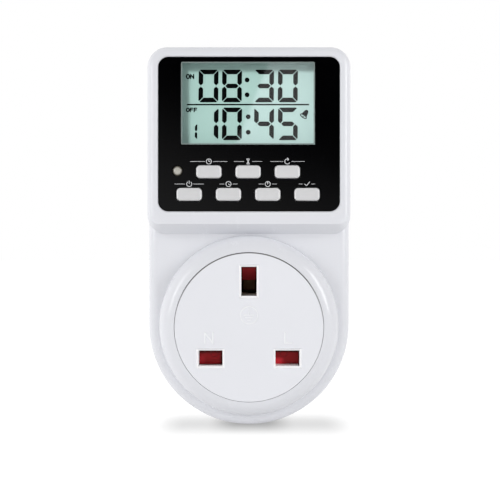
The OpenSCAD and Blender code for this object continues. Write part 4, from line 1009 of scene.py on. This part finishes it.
def floor_finish():
    """To the light round the object the floor is plain white with a faint glow. The eye
    and mirrors see a dim film that takes the real shadow, over a glow that meets the
    backdrop and sinks in two soft pools of painted shadow under the object, a wide one
    and one at its foot."""
    material = bpy.data.materials.new("floor_white")
    material.use_nodes = True
    f = Finish(material.node_tree)
    across, depth, _ = f.axes()

    def shadow_pool(x, fade_x, h, fade_h):
        return (1 - (across - x).size().ramp(*fade_x)) * (1 - (depth - h).size().ramp(*fade_h))

    def glowing(base, strength):
        dull = f.node("ShaderNodeBsdfDiffuse", None, {"Color": (base, base, base)})
        glow = f.node("ShaderNodeEmission", None, {"Color": (1, 1, 1), "Strength": strength})
        return f.node("ShaderNodeAddShader", None, {0: dull, 1: glow})

    # Painted shadow: two soft pools that dim the floor's own glow under the object
    wide, foot = shadow_pool(1.4, (20.5, 33), 29.5, (0, 19)), shadow_pool(0.6, (4, 14), 27, (0, 16))
    camera_ray, glossy_ray = f.rays("Camera", "Glossy")
    f.surface(f.node("ShaderNodeMixShader", None, {
        0: camera_ray.most(glossy_ray), 1: glowing(0.8, FLOOR_GLOW),
        2: glowing(0.12, (1 - wide * 0.33) * (1 - foot * 0.45))}))
    return material


floor = stage_plane("floor", FLOOR_HALF, cad_box[0].z)
floor.data.materials.append(floor_finish())

scene.view_settings.view_transform = "Standard"

# The strength of the dull light from each side, and of the glow low down in mirrors
SKY = {"front": 0.55, "back": 0.5, "below": 1.47, "left": 1.2, "right": 0.38}
GLOW = 0.3


def studio_sky():
    """White to the eye. In mirrors the backdrop behind the object is white, and the dark
    room in front of it has a dim glow low down. Dull faces get light from five sides: a
    direction gives each side's strength by a smooth step of how far it points there."""
    world = bpy.data.worlds.new("studio")
    world.use_nodes = True
    scene.world = world
    sky = Finish(world.node_tree, "Background")
    camera_ray, glossy_ray, through_ray = sky.rays("Camera", "Glossy", "Transmission")
    across, ahead, up = sky.split(sky.node("ShaderNodeTexCoord", out="Generated"))
    backdrop = ahead.ramp(-0.55, 0.3)
    low_glow = 1 - (up + across * 0.36).ramp(-0.03, 0.22)
    mirrored = (glossy_ray + through_ray).held()
    towards = {"front": ahead * -1, "back": ahead, "below": up * -1, "left": across * -1,
               "right": across}
    soft = sum(towards[side].ramp(0, 1) * SKY[side] for side in SKY)
    in_mirrors = backdrop + (1 - backdrop) * low_glow * GLOW
    sky.set(Color=(1, 1, 1, 1),
            Strength=camera_ray + (1 - camera_ray) * (
                mirrored * in_mirrors + (1 - mirrored) * soft))


studio_sky()

# ---------------------------------------------------------------- lamps and camera

AIM = (0, -0.03, 0.03)
# Each lamp's place, width, height and power, and whether mirrors show it
LAMPS = {
    "left": ((-0.46, -0.29, 0.18), 0.08, 0.3, 0.65, True),
    "right": ((0.46, -0.29, 0.18), 0.08, 0.3, 1.08, True),
    "low": ((0, -0.45, -0.36), 0.3, 0.42, 0.82, False),
}
DISPLAY_LAMP_AT, DISPLAY_AIM = (-0.52, -0.885, 0.555), (0, -0.035, 0.065)
DISPLAY_LAMP_W, DISPLAY_LAMP_POWER = 0.24, 10.8


def softbox(name, at, aim, width, height, power):
    """A rectangular area lamp turned to face a point."""
    lamp = bpy.data.lights.new(name, "AREA")
    lamp.shape = "RECTANGLE"
    lamp.size, lamp.size_y = width, height
    lamp.energy = power
    made = bpy.data.objects.new(name, lamp)
    made.location = at
    made.rotation_euler = (Vector(aim) - Vector(at)).to_track_quat("-Z", "Y").to_euler()
    scene.collection.objects.link(made)
    return made


def lights(lamp, shown, state="INCLUDE"):
    """Keeps a lamp's light on the objects named, or off them."""
    held = bpy.data.collections.new(lamp.name + "_" + state.lower())
    for item in shown:
        held.objects.link(item)
    for link in held.collection_objects:
        link.light_linking.link_state = state
    lamp.light_linking.receiver_collection = held


for name, (at, width, height, power, mirrored) in LAMPS.items():
    lamp = softbox(name + "_softbox", at, AIM, width, height, power)
    lamp.visible_glossy = mirrored
    lights(lamp, display, "EXCLUDE")

# The display has a lamp of its own, high on the left, that throws the window frame's shadow
slant = softbox("display_softbox", DISPLAY_LAMP_AT, DISPLAY_AIM, DISPLAY_LAMP_W,
                DISPLAY_LAMP_W, DISPLAY_LAMP_POWER)
slant.visible_glossy = False
lights(slant, display)

# A tall card off to the right shows in the window as a slanted band of sheen. Its left edge
# passes through CARD_EDGE, across and up in metres.
CARD_TILT = math.atan2(0.0373, 0.0912)
CARD_W, CARD_L, CARD_POWER = 0.3, 0.4, 0.4
CARD_EDGE, CARD_Y = (0.00245, 0.1834), -0.6
card_x, card_z = np.array(CARD_EDGE) + CARD_W / 2 * np.array([math.cos(CARD_TILT),
                                                              -math.sin(CARD_TILT)])
card = softbox("window_card", (card_x, CARD_Y, card_z), (card_x, 0, card_z), CARD_W, CARD_L,
               CARD_POWER)
card.rotation_euler.rotate_axis("Z", -CARD_TILT)
lights(card, [nodes["display_window"]])

lens = bpy.data.cameras.new("camera")
lens.lens, lens.sensor_width = 50, 36
lens.clip_start = 0.01
camera = bpy.data.objects.new("camera", lens)
camera.location = (0.0003, -0.24, 0.02226)
camera.rotation_euler = (math.pi / 2, 0, 0)
scene.collection.objects.link(camera)
scene.camera = camera
